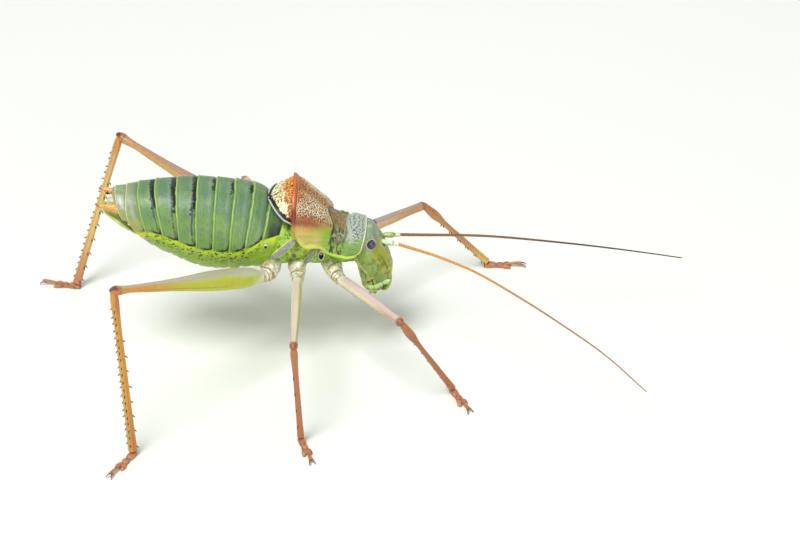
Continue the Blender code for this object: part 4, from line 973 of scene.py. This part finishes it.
# the mouth: upper lip, lower lip with its lobes and the second jaws, a mandible and two palps on each side
def makeMouth():
    grid = levels(mouth["lip"])
    x, y, z = np.moveaxis(grid, -1, 0)
    grid[..., 0] += -0.05 * hump(y, 0, 0.12) * (z < 6.6) + 0.02 * lumps(grid, 0.35, 61)
    lip = Shape().add(grid, (z, y, x))
    finish = mouthFinish("upper lip", (0.16, 0.3, 0.02), (0.34, 0.46, 0.04))
    lip.make("upperLip", finish, "mouthparts", ("upper_lip",))
    grid = levels(mouth["under"])
    x, y, z = np.moveaxis(grid, -1, 0)
    groove = 0.1 * hump(np.abs(y), 0.42, 0.08) + 0.08 * hump(y, 0, 0.05)
    grid[..., 0] += groove * np.sign(-2.9 - x) + 0.04 * lumps(grid, 0.35, 62)
    lower = Shape().add(grid, (z, y, x))
    for side in bothSides:
        grid = levels(mouth["second"], side, columns=56, count=90)
        middleLine = grid.mean(1, keepdims=True)
        away = unit(grid - middleLine + 1e-9)
        turn = np.arctan2(away[..., 1], away[..., 0])
        lift = 0.07 * lumps(grid * (1, 1, 0.6), 0.3, 63) + 0.04 * lumps(grid, 0.14, 65)
        for place in mouth["grooves"]:
            lift -= 0.12 * hump(np.angle(np.exp(1j * (turn - place))), 0, 0.14)
        lift -= 0.12 * hump(grid[..., 2], 7.3 + 0.2 * np.cos(turn), 0.08)
        lower.add(grid + away * lift[..., None], (lift * 6 + 0.5, turn, grid[..., 2]))
    finish = mouthFinish("lower lip", (0.26, 0.34, 0.03), (0.5, 0.52, 0.14))
    lower.make("lowerLip", finish, "mouthparts", ("lower_lip",))
    for side in bothSides:
        grid = levels(mouth["jaw"], side)
        jaw = Shape().add(grid, (grid[..., 2], 0, 0))
        jaw.make("mandible" + side.capitalize(), jawFinish(side), "mouthparts", ("mandible_" + side,))
        palps(side, "jawPalp", "jaw_palp_", (0.18, 0.42, 0.74, 1.0), 0.17)
        palps(side, "lipPalp", "lip_palp_", (0.35, 0.65, 1.0), 0.16)


# a palp: a tube along a bent path, waisted at its joints and blunt at its tip
def palps(side, word, node, ends, radius):
    count = 70
    path = curve([mirrored(p, side) for p in mouth[word]], count)
    along = np.linspace(0, 1, count)
    waist = sum(hump(along, end, 0.025) for end in ends[:-1])
    wide = radius * (0.85 + 0.3 * along) * (1 - 0.35 * waist) * np.sqrt(1 - ease(along, 0.9, 1.0) * 0.85)
    palp = Shape().add(tube(path, wide, 18), (along[:, None], waist[:, None], 0))
    look = Finish(word + " " + side, rough=0.35, coat=0.15, under=0.2)
    run, joint, _ = look.mark("skin")
    fine = look.noise(8, 3)
    colour = layers(
        (0.3, 0.5, 0.14),
        ((0.5, 0.66, 0.32), ease(fine, 0.35, 0.7)),
        ((0.14, 0.16, 0.04), ease(joint, 0.4, 0.9) * 0.6),
        ((0.7, 0.7, 0.4), ease(run, 0.92, 1.0) * 0.6),
    )
    look.done(colour, fine, 0.02)
    palp.make(word + side.capitalize(), look.material, "mouthparts", (node + side,))


# a deep and a pale tone by noise, with brown streaks, and painted shade, dark in the second jaws' grooves and
# other sunk places
def mouthFinish(name, deep, pale):
    look = Finish(name, rough=0.35, coat=0.15, under=0.12)
    broad, fine = look.noise(2.2, 4), look.noise(9, 3)
    colour = layers(
        deep,
        (pale, ease(broad, 0.35, 0.7)),
        ((0.12, 0.08, 0.02), ease(look.noise(2.2, 3, (1.6, 1, 0.5)), 0.54, 0.68) * 0.6),
        # painted shade: dark where the second jaws' surface is sunk
        ((0.03, 0.02, 0.01), ease(look.mark("skin")[0], 0.1, -0.3) * 0.9),
    )
    return look.done(colour, fine * 0.6 + broad, 0.05)


# green, then brown, then black towards the tip, by height
def jawFinish(side):
    look = Finish("mandible " + side, rough=0.28, coat=0.3, under=0.08)
    height, _, _ = look.mark("skin")
    broad = look.noise(2.6, 3)
    colour = mix((0.34, 0.36, 0.05), (0.2, 0.08, 0.02), ease(height + (broad - 0.5) * 0.5, 6.5, 6.0))
    colour = mix(colour, (0.02, 0.012, 0.01), ease(height, 5.95, 5.65))
    return look.done(colour, look.noise(9, 3), 0.02)


limbs = {
    # lengths in millimetres; a row's share of the femur with its reach up, down and to the side, or of the
    # tibia with its radius
    "fore": {
        "hip": (-4.91, 3.15, 8.7), "root": (-5.8, 1.1, 9.35), "femur": 8.72, "tibia": 9.3, "foot": 3.5,
        "coxaRoot": 0.8, "elbow": 0.8,
        "femurRows": ((-0.05, 0.36, 0.36, 0.34), (0.0, 0.42, 0.42, 0.4), (0.12, 0.5, 0.48, 0.42),
                      (0.6, 0.45, 0.43, 0.38), (0.88, 0.36, 0.36, 0.31), (0.955, 0.39, 0.4, 0.34),
                      (0.99, 0.34, 0.34, 0.29), (1.025, 0.17, 0.16, 0.15)),
        "tibiaRows": ((0.0, 0.26), (0.03, 0.31), (0.07, 0.34), (0.12, 0.39), (0.19, 0.39), (0.25, 0.3),
                      (0.6, 0.26), (0.93, 0.3), (1.0, 0.32)),
    },
    "mid": {
        "hip": (-8.62, 4.1, 9.56), "root": (-8.7, 1.7, 9.95), "femur": 9.58, "tibia": 9.13, "foot": 3.5,
        "coxaRoot": 0.76, "elbow": 0.8,
        "tibiaRows": ((0.0, 0.26), (0.04, 0.33), (0.08, 0.34), (0.16, 0.3), (0.6, 0.27), (0.93, 0.3),
                      (1.0, 0.32)),
    },
    "hind": {
        "hip": (-11.8, 3.72, 10.0), "root": (-11.0, 1.8, 10.6), "femur": 15.9, "tibia": 15.8, "foot": 3.6,
        "coxaRoot": 1.0, "elbow": 1.2,
        "femurRows": ((-0.03, 0.4, 0.4, 0.36), (0.0, 0.5, 0.5, 0.42), (0.06, 0.8, 0.72, 0.58),
                      (0.2, 0.98, 0.9, 0.66), (0.36, 0.9, 0.82, 0.6), (0.55, 0.6, 0.58, 0.42),
                      (0.75, 0.38, 0.4, 0.31), (0.92, 0.33, 0.34, 0.3), (0.96, 0.35, 0.44, 0.37),
                      (0.99, 0.38, 0.4, 0.34), (1.01, 0.3, 0.26, 0.24), (1.022, 0.16, 0.14, 0.14)),
        "tibiaRows": ((0.0, 0.24), (0.02, 0.32), (0.05, 0.34), (0.1, 0.31), (0.6, 0.3), (0.95, 0.34),
                      (1.0, 0.36)),
    },
    # bearings in degrees from x towards y: the femur and its rise, the tibia, the foot
    "pose": {
        ("fore", "right"): (-53.0, 1.2, 21.8, -64.0), ("fore", "left"): (36.8, -3.9, 15.2, -5.8),
        ("mid", "right"): (-89.9, 0.3, -114.5, -72.0), ("mid", "left"): (124.3, 0.3, 60.2, 100.0),
        ("hind", "right"): (-139.6, 23.0, -97.9, -122.0), ("hind", "left"): (147.7, 18.9, -164.4, 164.0),
    },
    "ankle": 0.5, "heel": 0.32, "coxaEnd": 0.47,
    # a foot's short joints and pads: first and last place, half width, height, shift and splay to the side
    "footJoints": ((0.0, 0.36, 0.32, 0.5, 0, 0), (0.31, 0.52, 0.3, 0.42, 0, 0),
                   (0.47, 0.7, 0.22, 0.34, 0.12, 0.28), (0.47, 0.7, 0.22, 0.34, -0.12, -0.28)),
    # rows of spines: how many, degrees round the shin from its outer edge, first and last place, length
    "spines": {
        "fore": ((6, 148, 0.3, 0.96, 0.3), (6, -148, 0.3, 0.96, 0.3)),
        "mid": ((6, 148, 0.25, 0.96, 0.3), (6, -148, 0.25, 0.96, 0.3), (4, 30, 0.3, 0.85, 0.26)),
        "hind": ((20, 36, 0.1, 0.95, 0.28), (20, -36, 0.1, 0.95, 0.28), (8, 150, 0.3, 0.97, 0.36),
                 (8, -150, 0.3, 0.97, 0.36)),
    },
}
limbs["mid"]["femurRows"] = limbs["fore"]["femurRows"]


# the direction of a bearing in degrees from x towards y, raised from the level
def bearing(turn, rise=0.0):
    turn, rise = np.radians(turn), np.radians(rise)
    return np.array((np.cos(turn) * np.cos(rise), np.sin(turn) * np.cos(rise), np.sin(rise)))


# the hip, knee, ankle and foot direction of a leg, its shin sloped so that its end stands at ankle height
def legJoints(pair, side):
    sizes = limbs[pair]
    femurTurn, femurRise, tibiaTurn, footTurn = limbs["pose"][pair, side]
    hip = mirrored(sizes["hip"], side)
    knee = hip + bearing(femurTurn, femurRise) * sizes["femur"]
    slope = -np.degrees(np.arcsin((knee[2] - limbs["ankle"]) / sizes["tibia"]))
    return hip, knee, knee + bearing(tibiaTurn, slope) * sizes["tibia"], bearing(footTurn)


# a limb joint along a straight line: sections of a table's reach up, down and aside, a little boxy,
# drawn out by an extra height worked out from place and turn
def limbGrid(start, run, length, hint, table, count, sides, extra, boxy=2.3):
    part = np.linspace(table[0][0], table[-1][0], count)
    values = glide(table, part)
    high, low, wide = values if len(values) == 3 else (values[0], values[0], values[0] * 0.94)
    turn = around(sides)
    rise, out = roundBox(turn, boxy)
    lift = rise * np.where(rise > 0, high[:, None], low[:, None])
    spread = out * wide[:, None]
    grow = 1 + extra(part[:, None], turn) / np.hypot(lift, spread)
    grid = rings(start + np.outer(part * length, run), lift * grow, spread * grow, hint)
    return grid, part[:, None], turn


# makes a leg's piece, named after its word, pair and side like the solid that it replaces
def makeLimb(shape, word, pair, side, finish):
    shape.make(word + pair.capitalize() + side.capitalize(), finish, word, (f"{word}_{pair}_{side}",))


# the coxa and its ring: a cone bent out of the trunk's side, with folds and two grooves round its end
def makeCoxa(pair, side, hip, run):
    sizes = limbs[pair]
    root, end = mirrored(sizes["root"], side), hip + run * 0.1
    elbow = hip - run * (0.3 + sizes["elbow"])
    t = np.linspace(0, 1, 90)[:, None]
    path = (1 - t) ** 2 * root + 2 * t * (1 - t) * elbow + t**2 * end
    t = t[:, 0]
    thin = limbs["coxaEnd"]
    radius = thin + (sizes["coxaRoot"] - thin) * 1.3 * (1 - t) ** 1.1
    turn = around(48)
    folds = 0.05 * np.sin(t * 46) * ease(t, 0.45, 0.6) * ease(1.02 - t, 0, 0.1) - 0.09 * hump(t, 0.62, 0.03)
    folds = folds - 0.08 * hump(t, 0.86, 0.025)
    wide = radius[:, None] + folds[:, None] * (0.6 + 0.4 * np.sin(turn * 2 + t[:, None] * 3))
    grid = rings(path, wide * np.cos(turn), wide * np.sin(turn))
    rough = 0.08 * lumps(grid, 0.45, 71) + 0.05 * lumps(grid * (1, 1, 0.5), 0.2, 72)
    grid = grid + unit(grid - path[:, None]) * rough[..., None]
    coxa = Shape().add(grid, (t[:, None], folds[:, None] * 10, 0))
    makeLimb(coxa, "coxa", pair, side, coxaFinish(pair, side))


# a pale skin, brown in its folds and in blotches of noise, and green at its root
def coxaFinish(pair, side):
    look = Finish(f"{pair} {side} coxa", rough=0.36, coat=0.15, under=0.2)
    run, fold, _ = look.mark("skin")
    broad, fine = look.noise(1.8, 4), look.noise(7, 4)
    colour = layers(
        (0.76, 0.72, 0.58),
        ((0.42, 0.44, 0.12), ease(broad, 0.44, 0.64)),
        ((0.85, 0.8, 0.72), ease(look.noise(2.6, 3), 0.55, 0.7) * 0.7),
        ((0.3, 0.17, 0.05), ease(fold, -0.05, -0.55) * 0.85),
        ((0.26, 0.15, 0.04), ease(look.noise(3.4, 4, (1, 1, 0.5)), 0.58, 0.68) * 0.6),
        ((0.34, 0.44, 0.06), ease(run, 0.4, 0.1) * 0.6),
        ((0.4, 0.44, 0.46), hump(look.noise(1.9, 3), 0.6, 0.05) * 0.6),
        ((0.09, 0.07, 0.03), hump(look.noise(1.5, 4, (1, 1, 0.6)), 0.48, 0.022) * 0.75),
    )
    return look.done(colour, fine * 0.5 + broad, 0.05, ease(broad, 0.2, 0.8) * 0.15 + 0.28)


# the femur: limbGrid with two low keels above and two below, slanting rows on its sides and lobes at the knee
def makeFemur(pair, side, hip, knee):
    run = unit(knee - hip)

    def keels(part, turn):
        edge = sum(hump(np.degrees(turn), place, 7) for place in (38, 322, 150, 210))
        rows = np.sin(part * limbs[pair]["femur"] * 9 + np.abs(np.sin(turn)) * 5) * np.abs(np.sin(turn)) ** 4
        lobes = 0.05 * hump(part, 0.982, 0.016) * np.abs(np.sin(turn))
        swell = 0.5 if pair == "hind" else 0.2
        ribs = 0.02 * swell * rows * ease(0.7 - part, 0, 0.3)
        return 0.035 * edge * ease(0.95 - part, 0, 0.1) + ribs + lobes

    count = 260 if pair == "hind" else 180
    sizes = limbs[pair]
    grid, part, turn = limbGrid(hip, run, sizes["femur"], up, sizes["femurRows"], count, 48, keels)
    femur = Shape().add(grid, (part, np.cos(turn), np.sin(turn)))
    makeLimb(femur, "femur", pair, side, femurFinish(pair, side))


femurTones = {  # upper stripe, middle, lower side, towards the knee, knee
    ("fore", "right"): ((0.58, 0.45, 0.42), (0.7, 0.6, 0.46), (0.46, 0.5, 0.12),
                        (0.5, 0.3, 0.22), (0.28, 0.09, 0.04)),
    ("fore", "left"): ((0.3, 0.24, 0.22), (0.6, 0.4, 0.28), (0.66, 0.42, 0.1),
                       (0.5, 0.22, 0.06), (0.36, 0.13, 0.04)),
    ("mid", "right"): ((0.62, 0.52, 0.42), (0.66, 0.62, 0.4), (0.36, 0.42, 0.05),
                       (0.5, 0.32, 0.2), (0.28, 0.09, 0.03)),
    ("mid", "left"): ((0.62, 0.42, 0.34), (0.7, 0.56, 0.36), (0.5, 0.52, 0.16),
                      (0.52, 0.27, 0.1), (0.38, 0.15, 0.045)),
    ("hind", "right"): ((0.4, 0.36, 0.27), (0.42, 0.48, 0.2), (0.46, 0.48, 0.012),
                        (0.6, 0.22, 0.03), (0.5, 0.17, 0.045)),
    ("hind", "left"): ((0.34, 0.2, 0.16), (0.6, 0.38, 0.16), (0.66, 0.44, 0.1),
                       (0.6, 0.28, 0.06), (0.5, 0.18, 0.05)),
}


# a leg's tones, by the share of the length and by the cosine and sine of the turn from the top
def femurFinish(pair, side):
    top, body, below, far, knee = femurTones[pair, side]
    look = Finish(f"{pair} {side} femur", rough=0.34, coat=0.15, under=0.2)
    part, upper, out = look.mark("skin")
    broad, fine = look.noise(1.2, 3), look.noise(8, 3)
    hind = pair == "hind"
    level = 0.42 if hind else -0.1
    colour = layers(
        below,
        (body, ease(upper + (broad - 0.5) * 0.5, level - 0.3, level + 0.3)),
        (far, ease(part + (broad - 0.5) * 0.12, 0.42, 0.86) * 0.85),
        (top, ease(upper + (broad - 0.5) * 0.4, 0.5, 0.85) * 0.85),
        (below, ease(out + (broad - 0.5) * 0.4, 0.3, 0.8) * (0.7 * (pair == "mid"))),
        ((0.2, 0.14, 0.02), hump(upper + (fine - 0.5) * 0.1, -0.35, 0.12) * ease(part, 0.15, 0.4) * 0.55),
        ((0.78, 0.74, 0.58), ease(part, 0.1, 0.0) * 0.6),
        (knee, ease(part + (broad - 0.5) * 0.03, 0.94, 0.99)),
        ((0.5, 0.56, 0.4), ease(part, 0.3, 0.05) * ease(upper, 0.2, 0.7) * (0.75 * hind)),
        ((0.05, 0.02, 0.02), ease(part, 0.975, 1.0) * ease(upper, 0.1, 0.5) * (0.85 * hind)),
        ((0.2, 0.07, 0.03), hump(part, 0.97, 0.008) * 0.7),
        ((0.9, 0.85, 0.7), ease(look.noise(4, 3), 0.62, 0.75) * 0.25),
    )
    return look.done(colour, fine * 0.5 + look.noise(20, 2) * 0.2, 0.03, ease(fine, 0.2, 0.8) * 0.12 + 0.28)


# the shin: limbGrid with four keels and rows of leaning spines, and a hollow on each side where the fore one
# hears
def makeTibia(pair, side, hip, knee, ankle, draws):
    down = unit(ankle - knee)
    thigh = unit(knee - hip)
    outer = unit(thigh - down * np.dot(thigh, down))
    start = knee + down * 0.12
    length = np.linalg.norm(ankle - start) - 0.12 / abs(down[2])

    def keels(part, turn):
        degrees = np.degrees(turn)
        edge = sum(hump(degrees, place, 11) for place in (38, 142, 218, 322))
        ear = 0.09 * hump(part, 0.155, 0.035) * sum(hump(degrees, place, 14) for place in (90, 270))
        return 0.03 * edge * ease(part, 0.02, 0.08) - ear * (pair == "fore")

    count = 240 if pair == "hind" else 170
    grid, part, turn = limbGrid(start, down, length, outer, limbs[pair]["tibiaRows"], count, 40, keels, 2.4)
    shin = Shape().add(grid, (part, np.cos(turn), 0))
    across = np.cross(down, outer)
    for count, degrees, first, last, size in limbs["spines"][pair]:
        turn = np.radians(degrees)
        out = outer * np.cos(turn) + across * np.sin(turn)
        for place in np.linspace(first, last, count) + draws.uniform(-0.006, 0.006, count):
            half = glide(limbs[pair]["tibiaRows"], place)[0]
            lean = np.radians(draws.uniform(30, 42))
            run = out * np.cos(lean) + down * np.sin(lean)
            t = np.linspace(0, 1, 7)[:, None]
            reach = size * draws.uniform(0.85, 1.15)
            path = start + down * length * place + out * half * 0.85 + run * t * reach + down * 0.06 * t**2
            wide = 0.066 * (1 - t[:, 0]) ** 0.6 + 0.012
            shin.add(tube(path, wide, 8), (place, 0.0, t))
    makeLimb(shin, "tibia", pair, side, tibiaFinish(pair, side))


tibiaTones = {  # near the knee, along the shin, its outer stripe, near the foot
    "fore": ((0.36, 0.11, 0.03), (0.3, 0.085, 0.025), (0.42, 0.17, 0.06), (0.38, 0.09, 0.025)),
    ("fore", "left"): ((0.4, 0.16, 0.06), (0.46, 0.22, 0.08), (0.5, 0.3, 0.13), (0.62, 0.4, 0.1)),
    "mid": ((0.4, 0.11, 0.03), (0.34, 0.09, 0.035), (0.46, 0.19, 0.08), (0.38, 0.09, 0.025)),
    "hind": ((0.5, 0.17, 0.03), (0.6, 0.27, 0.02), (0.64, 0.37, 0.05), (0.48, 0.17, 0.04)),
    ("hind", "left"): ((0.6, 0.28, 0.08), (0.68, 0.44, 0.14), (0.72, 0.56, 0.26), (0.5, 0.2, 0.08)),
}


# a leg's tones by the share of the length, a stripe on the outer edge, spines darker towards their tips
def tibiaFinish(pair, side):
    first, body, stripe, last = tibiaTones.get((pair, side), tibiaTones[pair])
    look = Finish(f"{pair} {side} shin", rough=0.36, coat=0.12, under=0.15)
    part, outer, spine = look.mark("skin")
    broad, fine = look.noise(1.4, 3), look.noise(8, 3)
    colour = layers(
        body,
        (first, ease(part + (broad - 0.5) * 0.1, 0.22, 0.05)),
        (last, ease(part + (broad - 0.5) * 0.2, 0.6, 0.97)),
        (stripe, ease(outer + (broad - 0.5) * 0.8, 0.2, 0.95) * 0.5),
        ((0.3, 0.08, 0.02), ease(fine, 0.55, 0.75) * 0.4),
        ((0.3, 0.12, 0.03), hump(outer, 0.1, 0.16) * 0.6),
        ((0.012, 0.008, 0.006), ease(spine + (fine - 0.5) * 0.2, 0.2, 0.42)),
    )
    return look.done(colour, fine * 0.6, 0.03, ease(fine, 0.2, 0.8) * 0.12 + 0.3)


# one foot joint: a low arch on a flat sole, along its own line, with a dent across its end
def footJoint(root, run, start, end, wide, tall, shift=0.0, splay=0.0, count=26, sides=24):
    t = np.linspace(0, 1, count)
    side = np.cross(up, run)
    direction = unit(run + side * splay)
    line = root + run * start + side * shift + np.outer(t * (end - start), direction)
    full = (0.62 + 0.38 * np.sin(np.clip(t * 1.15, 0, 1) * np.pi) ** 0.5) * (1 - 0.35 * ease(t, 0.9, 1))
    rise, out = roundBox(around(sides), 2.5)
    lift = (1 + rise) * (tall / 2 * full)[:, None]
    spread = out * (wide * full)[:, None]
    across = unit(np.cross(up, direction))
    grid = line[:, None] + lift[..., None] * up + spread[..., None] * across
    grid[..., 2] = np.maximum(grid[..., 2], 0)
    return grid, t[:, None], rise


# the foot: two short joints, a third of two pads, a thin curved last one and two claws
def makeFoot(pair, side, ankle, run):
    length = limbs[pair]["foot"]
    root = np.array((ankle[0], ankle[1], 0.0)) - run * limbs["heel"]
    across = np.cross(up, run)
    foot = Shape()
    for start, end, wide, tall, shift, splay in limbs["footJoints"]:
        grid, t, rise = footJoint(root, run, start * length, end * length, wide, tall, shift, splay)
        foot.add(grid, (start + t * (end - start), rise, t), (0 * t, rise, t))
    t = np.linspace(0, 1, 30)
    lift = 0.24 + 0.16 * np.sin(t * 2.2)
    path = root + np.outer((0.52 + 0.45 * t) * length, run) + np.outer(lift, up)
    foot.add(tube(path, 0.11 + 0.07 * t**2, 16), (0.52 + 0.45 * t[:, None], 1.0, t[:, None]))
    for sign in (-1, 1):
        t = np.linspace(0, 1, 16)
        out, ahead = 0.08 + 0.2 * t**0.8, 0.94 * length + 0.5 * np.sin(t * 1.5)
        path = root + np.outer(ahead, run) + sign * np.outer(out, across) + np.outer(0.36 - 0.27 * t**2, up)
        foot.add(tube(path, 0.07 * (1 - t) ** 0.7 + 0.012, 10), (1, 1, 0), (t[:, None], 0, 0))
    makeLimb(foot, "foot", pair, side, footFinish(pair, side))


# brown joints, paler on their soles and dark where they start, with black tips on the claws
def footFinish(pair, side):
    look = Finish(f"{pair} {side} foot", rough=0.4, coat=0.1, under=0.15)
    part, upper, within = look.mark("skin")
    claw, _, _ = look.mark("tone")
    broad, fine = look.noise(2.2, 3), look.noise(9, 3)
    colour = layers(
        (0.46, 0.2, 0.09),
        ((0.34, 0.11, 0.05), ease(broad, 0.4, 0.65)),
        ((0.62, 0.3, 0.16), ease(part, 0.12, 0.0) * 0.7),
        ((0.62, 0.42, 0.28), ease(upper, -0.2, -0.8) * 0.7),
        ((0.12, 0.03, 0.02), hump(within, 0.0, 0.12) * 0.6),
        ((0.05, 0.02, 0.012), ease(claw, 0.45, 0.85)),
    )
    return look.done(colour, fine + broad * 0.5, 0.03)


# all six legs, with one stream of random draws for their spines
def makeLegs():
    draws = np.random.default_rng(7)
    for pair, side in limbs["pose"]:
        hip, knee, ankle, footRun = legJoints(pair, side)
        makeCoxa(pair, side, hip, unit(knee - hip))
        makeFemur(pair, side, hip, knee)
        makeTibia(pair, side, hip, knee, ankle, draws)
        makeFoot(pair, side, ankle, footRun)


tail = {
    # how far back, the height, the half thickness, the half width
    "under": ((21.4, 12.3, 0.12, 0.8), (22.1, 12.9, 0.18, 1.02), (22.8, 13.5, 0.24, 1.16),
              (23.5, 14.18, 0.3, 1.2), (24.1, 14.78, 0.3, 1.1), (24.7, 15.28, 0.22, 0.85),
              (25.1, 15.6, 0.1, 0.5)),
    "upper": ((23.3, 16.1, 0.3, 0.6), (23.9, 16.35, 0.26, 0.5), (24.25, 16.4, 0.2, 0.42),
              (24.55, 16.36, 0.08, 0.22)),
    "prong": ((-23.3, 1.02, 16.05), (-23.75, 1.16, 16.26), (-24.25, 1.22, 16.42), (-24.75, 1.28, 16.58),
              (-25.33, 1.3, 16.76)),
    "tooth": ((-24.3, 1.12, 16.42), (-24.5, 0.92, 16.45), (-24.66, 0.74, 16.5)),
}


# a small plate of the tail: flat sections along the body, on axes that lean towards the head
def tailPlate(word, count, lean):
    rows = np.array(tail[word])
    back = np.linspace(rows[0, 0], rows[-1, 0], count)[:, None]
    height, half, wide = glide(rows, back)
    turn = around(64)
    rise, out = np.cos(turn), np.sin(turn)
    return leaning(back, height, lean, rise * half, out * wide), back, rise, out


# the tail: a plate below, curled up at its sides, a small plate above, and two prongs with a tooth each
def makeTail():
    grid, back, rise, out = tailPlate("under", 70, 40)
    grid[..., 2] += 0.35 * out**2 - 0.12 * hump(out, 0, 0.2) * (rise > 0)
    grid[..., 2] += 0.02 * lumps(grid, 0.4, 81)
    plate = Shape().add(grid, (back, out, rise))
    finish = tailFinish("under plate", (0.46, 0.56, 0.1), (0.66, 0.7, 0.34))
    plate.make("underPlate", finish, "tail", ("underplate",))
    grid, back, rise, out = tailPlate("upper", 40, 0)
    flap = Shape().add(grid, (back, out, rise))
    finish = tailFinish("upper tail plate", (0.5, 0.4, 0.22), (0.66, 0.6, 0.42))
    flap.make("tailPlate", finish, "tail", ("tail_plate",))
    for side in bothSides:
        t = np.linspace(0, 1, 60)
        path = curve([mirrored(p, side) for p in tail["prong"]], 60)
        wide = 0.03 + 0.35 * (1 - t) ** 0.55 + 0.1 * ease(0.5 - t, 0, 0.35)
        prong = Shape().add(tube(path, wide, 28), (t[:, None], 0, 0))
        t = np.linspace(0, 1, 30)
        path = curve([mirrored(p, side) for p in tail["tooth"]], 30)
        prong.add(tube(path, 0.19 * (1 - t) ** 0.6 + 0.03, 16), (0.5 + 0.5 * t[:, None], 1.0, 0.0))
        look = Finish("prong " + side, rough=0.32, coat=0.2, under=0.2)
        run, tooth, _ = look.mark("skin")
        broad, fine = look.noise(3, 3), look.noise(9, 3)
        colour = layers(
            (0.72, 0.3, 0.04),
            ((0.66, 0.42, 0.14), ease(broad, 0.4, 0.7)),
            ((0.85, 0.5, 0.3), ease(look.noise(2.2, 3), 0.5, 0.65) * ease(run, 0.8, 0.6) * 0.4),
            ((0.4, 0.16, 0.03), ease(fine, 0.5, 0.7) * 0.4),
            ((0.14, 0.04, 0.015), ease(run, 0.8, 0.97) * 0.85),
            ((0.03, 0.012, 0.008), ease(run, 0.7, 0.9) * ease(tooth, 0.4, 0.6)),
        )
        look.done(colour, fine, 0.03)
        prong.make("cercus" + side.capitalize(), look.material, "tail", ("cercus_" + side,))


# a deep and a pale tone mixed by noise
def tailFinish(name, deep, pale):
    look = Finish(name, rough=0.38, coat=0.1, under=0.2)
    broad, fine = look.noise(1.8, 3), look.noise(8, 3)
    colour = mix(deep, pale, ease(broad, 0.35, 0.7))
    return look.done(colour, fine + broad, 0.03)


# the camera stands where the photograph was taken from: degrees of its height, bearing and roll, the point
# it looks at, its distance in millimetres, and its lens
view = {
    "rise": 35.459, "turn": 3.973, "roll": 5.636, "aim": (-0.0077, 0.0, 7.5437), "away": 300.0,
    "lens": 155.25, "sensor": 36, "nearest": 0.01, "farthest": 10,
}


# an object in the scene, by its own x, y and z directions and its place in metres
def placed(name, data, *columns):
    holder = bpy.data.objects.new(name, data)
    matrix = np.eye(4)
    matrix[:3] = np.column_stack(columns)
    holder.matrix_world = Matrix(matrix.tolist())
    bpy.context.scene.collection.objects.link(holder)
    return holder


# the camera looks back along a direction of the given rise and turn, tipped about it by the roll
def makeCamera():
    rise, turn, roll = (np.radians(view[word]) for word in ("rise", "turn", "roll"))
    back = np.array((np.sin(turn) * np.cos(rise), -np.cos(turn) * np.cos(rise), np.sin(rise)))
    right = np.array((np.cos(turn), np.sin(turn), 0.0))
    top = np.cross(right, -back)
    across = right * np.cos(roll) - top * np.sin(roll)
    high = right * np.sin(roll) + top * np.cos(roll)
    spot = (np.array(view["aim"]) + back * view["away"] - middle) * milli
    lens = bpy.data.cameras.new("camera")
    lens.lens, lens.sensor_width = view["lens"], view["sensor"]
    lens.clip_start, lens.clip_end = view["nearest"], view["farthest"]
    bpy.context.scene.camera = placed("camera", lens, across, high, back, spot)


studio = {
    "floor": ((0.8, 0.82, 0.78), (0.84, 0.85, 0.82)), "half": 3.0,
    "world": (0.95, 1.0, 0.92), "worldStrength": 0.4,
    # each lamp's place in metres, its size and its power
    "lamps": (((-0.06, -0.1, 0.3), 0.14, 0.9), ((0.12, -0.3, 0.1), 0.2, 0.3), ((0.05, 0.3, 0.25), 0.25, 0.2)),
}


# the light of a pale sky, three lamps and a level floor
def makeStudio():
    world = bpy.data.worlds.new("studio")
    world.use_nodes = True
    world.node_tree.nodes["Background"].inputs[0].default_value = (*studio["world"], 1)
    world.node_tree.nodes["Background"].inputs[1].default_value = studio["worldStrength"]
    bpy.context.scene.world = world
    for i, (spot, size, power) in enumerate(studio["lamps"]):
        lamp = bpy.data.lights.new(f"lamp{i}", "AREA")
        lamp.shape, lamp.size, lamp.energy = "DISK", size, power
        back = unit(np.array(spot))
        side = unit(np.cross(up, back))
        placed(f"lamp{i}", lamp, side, np.cross(back, side), back, spot)
    mesh = bpy.data.meshes.new("floor")
    corners = np.array(((-1, -1, 0), (1, -1, 0), (1, 1, 0), (-1, 1, 0))) * studio["half"]
    mesh.from_pydata(corners.tolist(), [], [(0, 1, 2, 3)])
    look = Finish("floor", rough=0.7, under=0.0)
    mesh.materials.append(look.done(mix(*studio["floor"], look.noise(0.02, 2))))
    placed("floor", mesh, *np.eye(3), np.zeros(3))
    bpy.context.scene.view_settings.view_transform = "Standard"


makeCamera()
makeStudio()
makeTrunk()
makeFlank()
makeSaddle()
for side in bothSides:
    makeCase(side)
makeHead()
for side in bothSides:
    makeEye(side)
    makeFeeler(side)
makeMouth()
makeTail()
makeLegs()
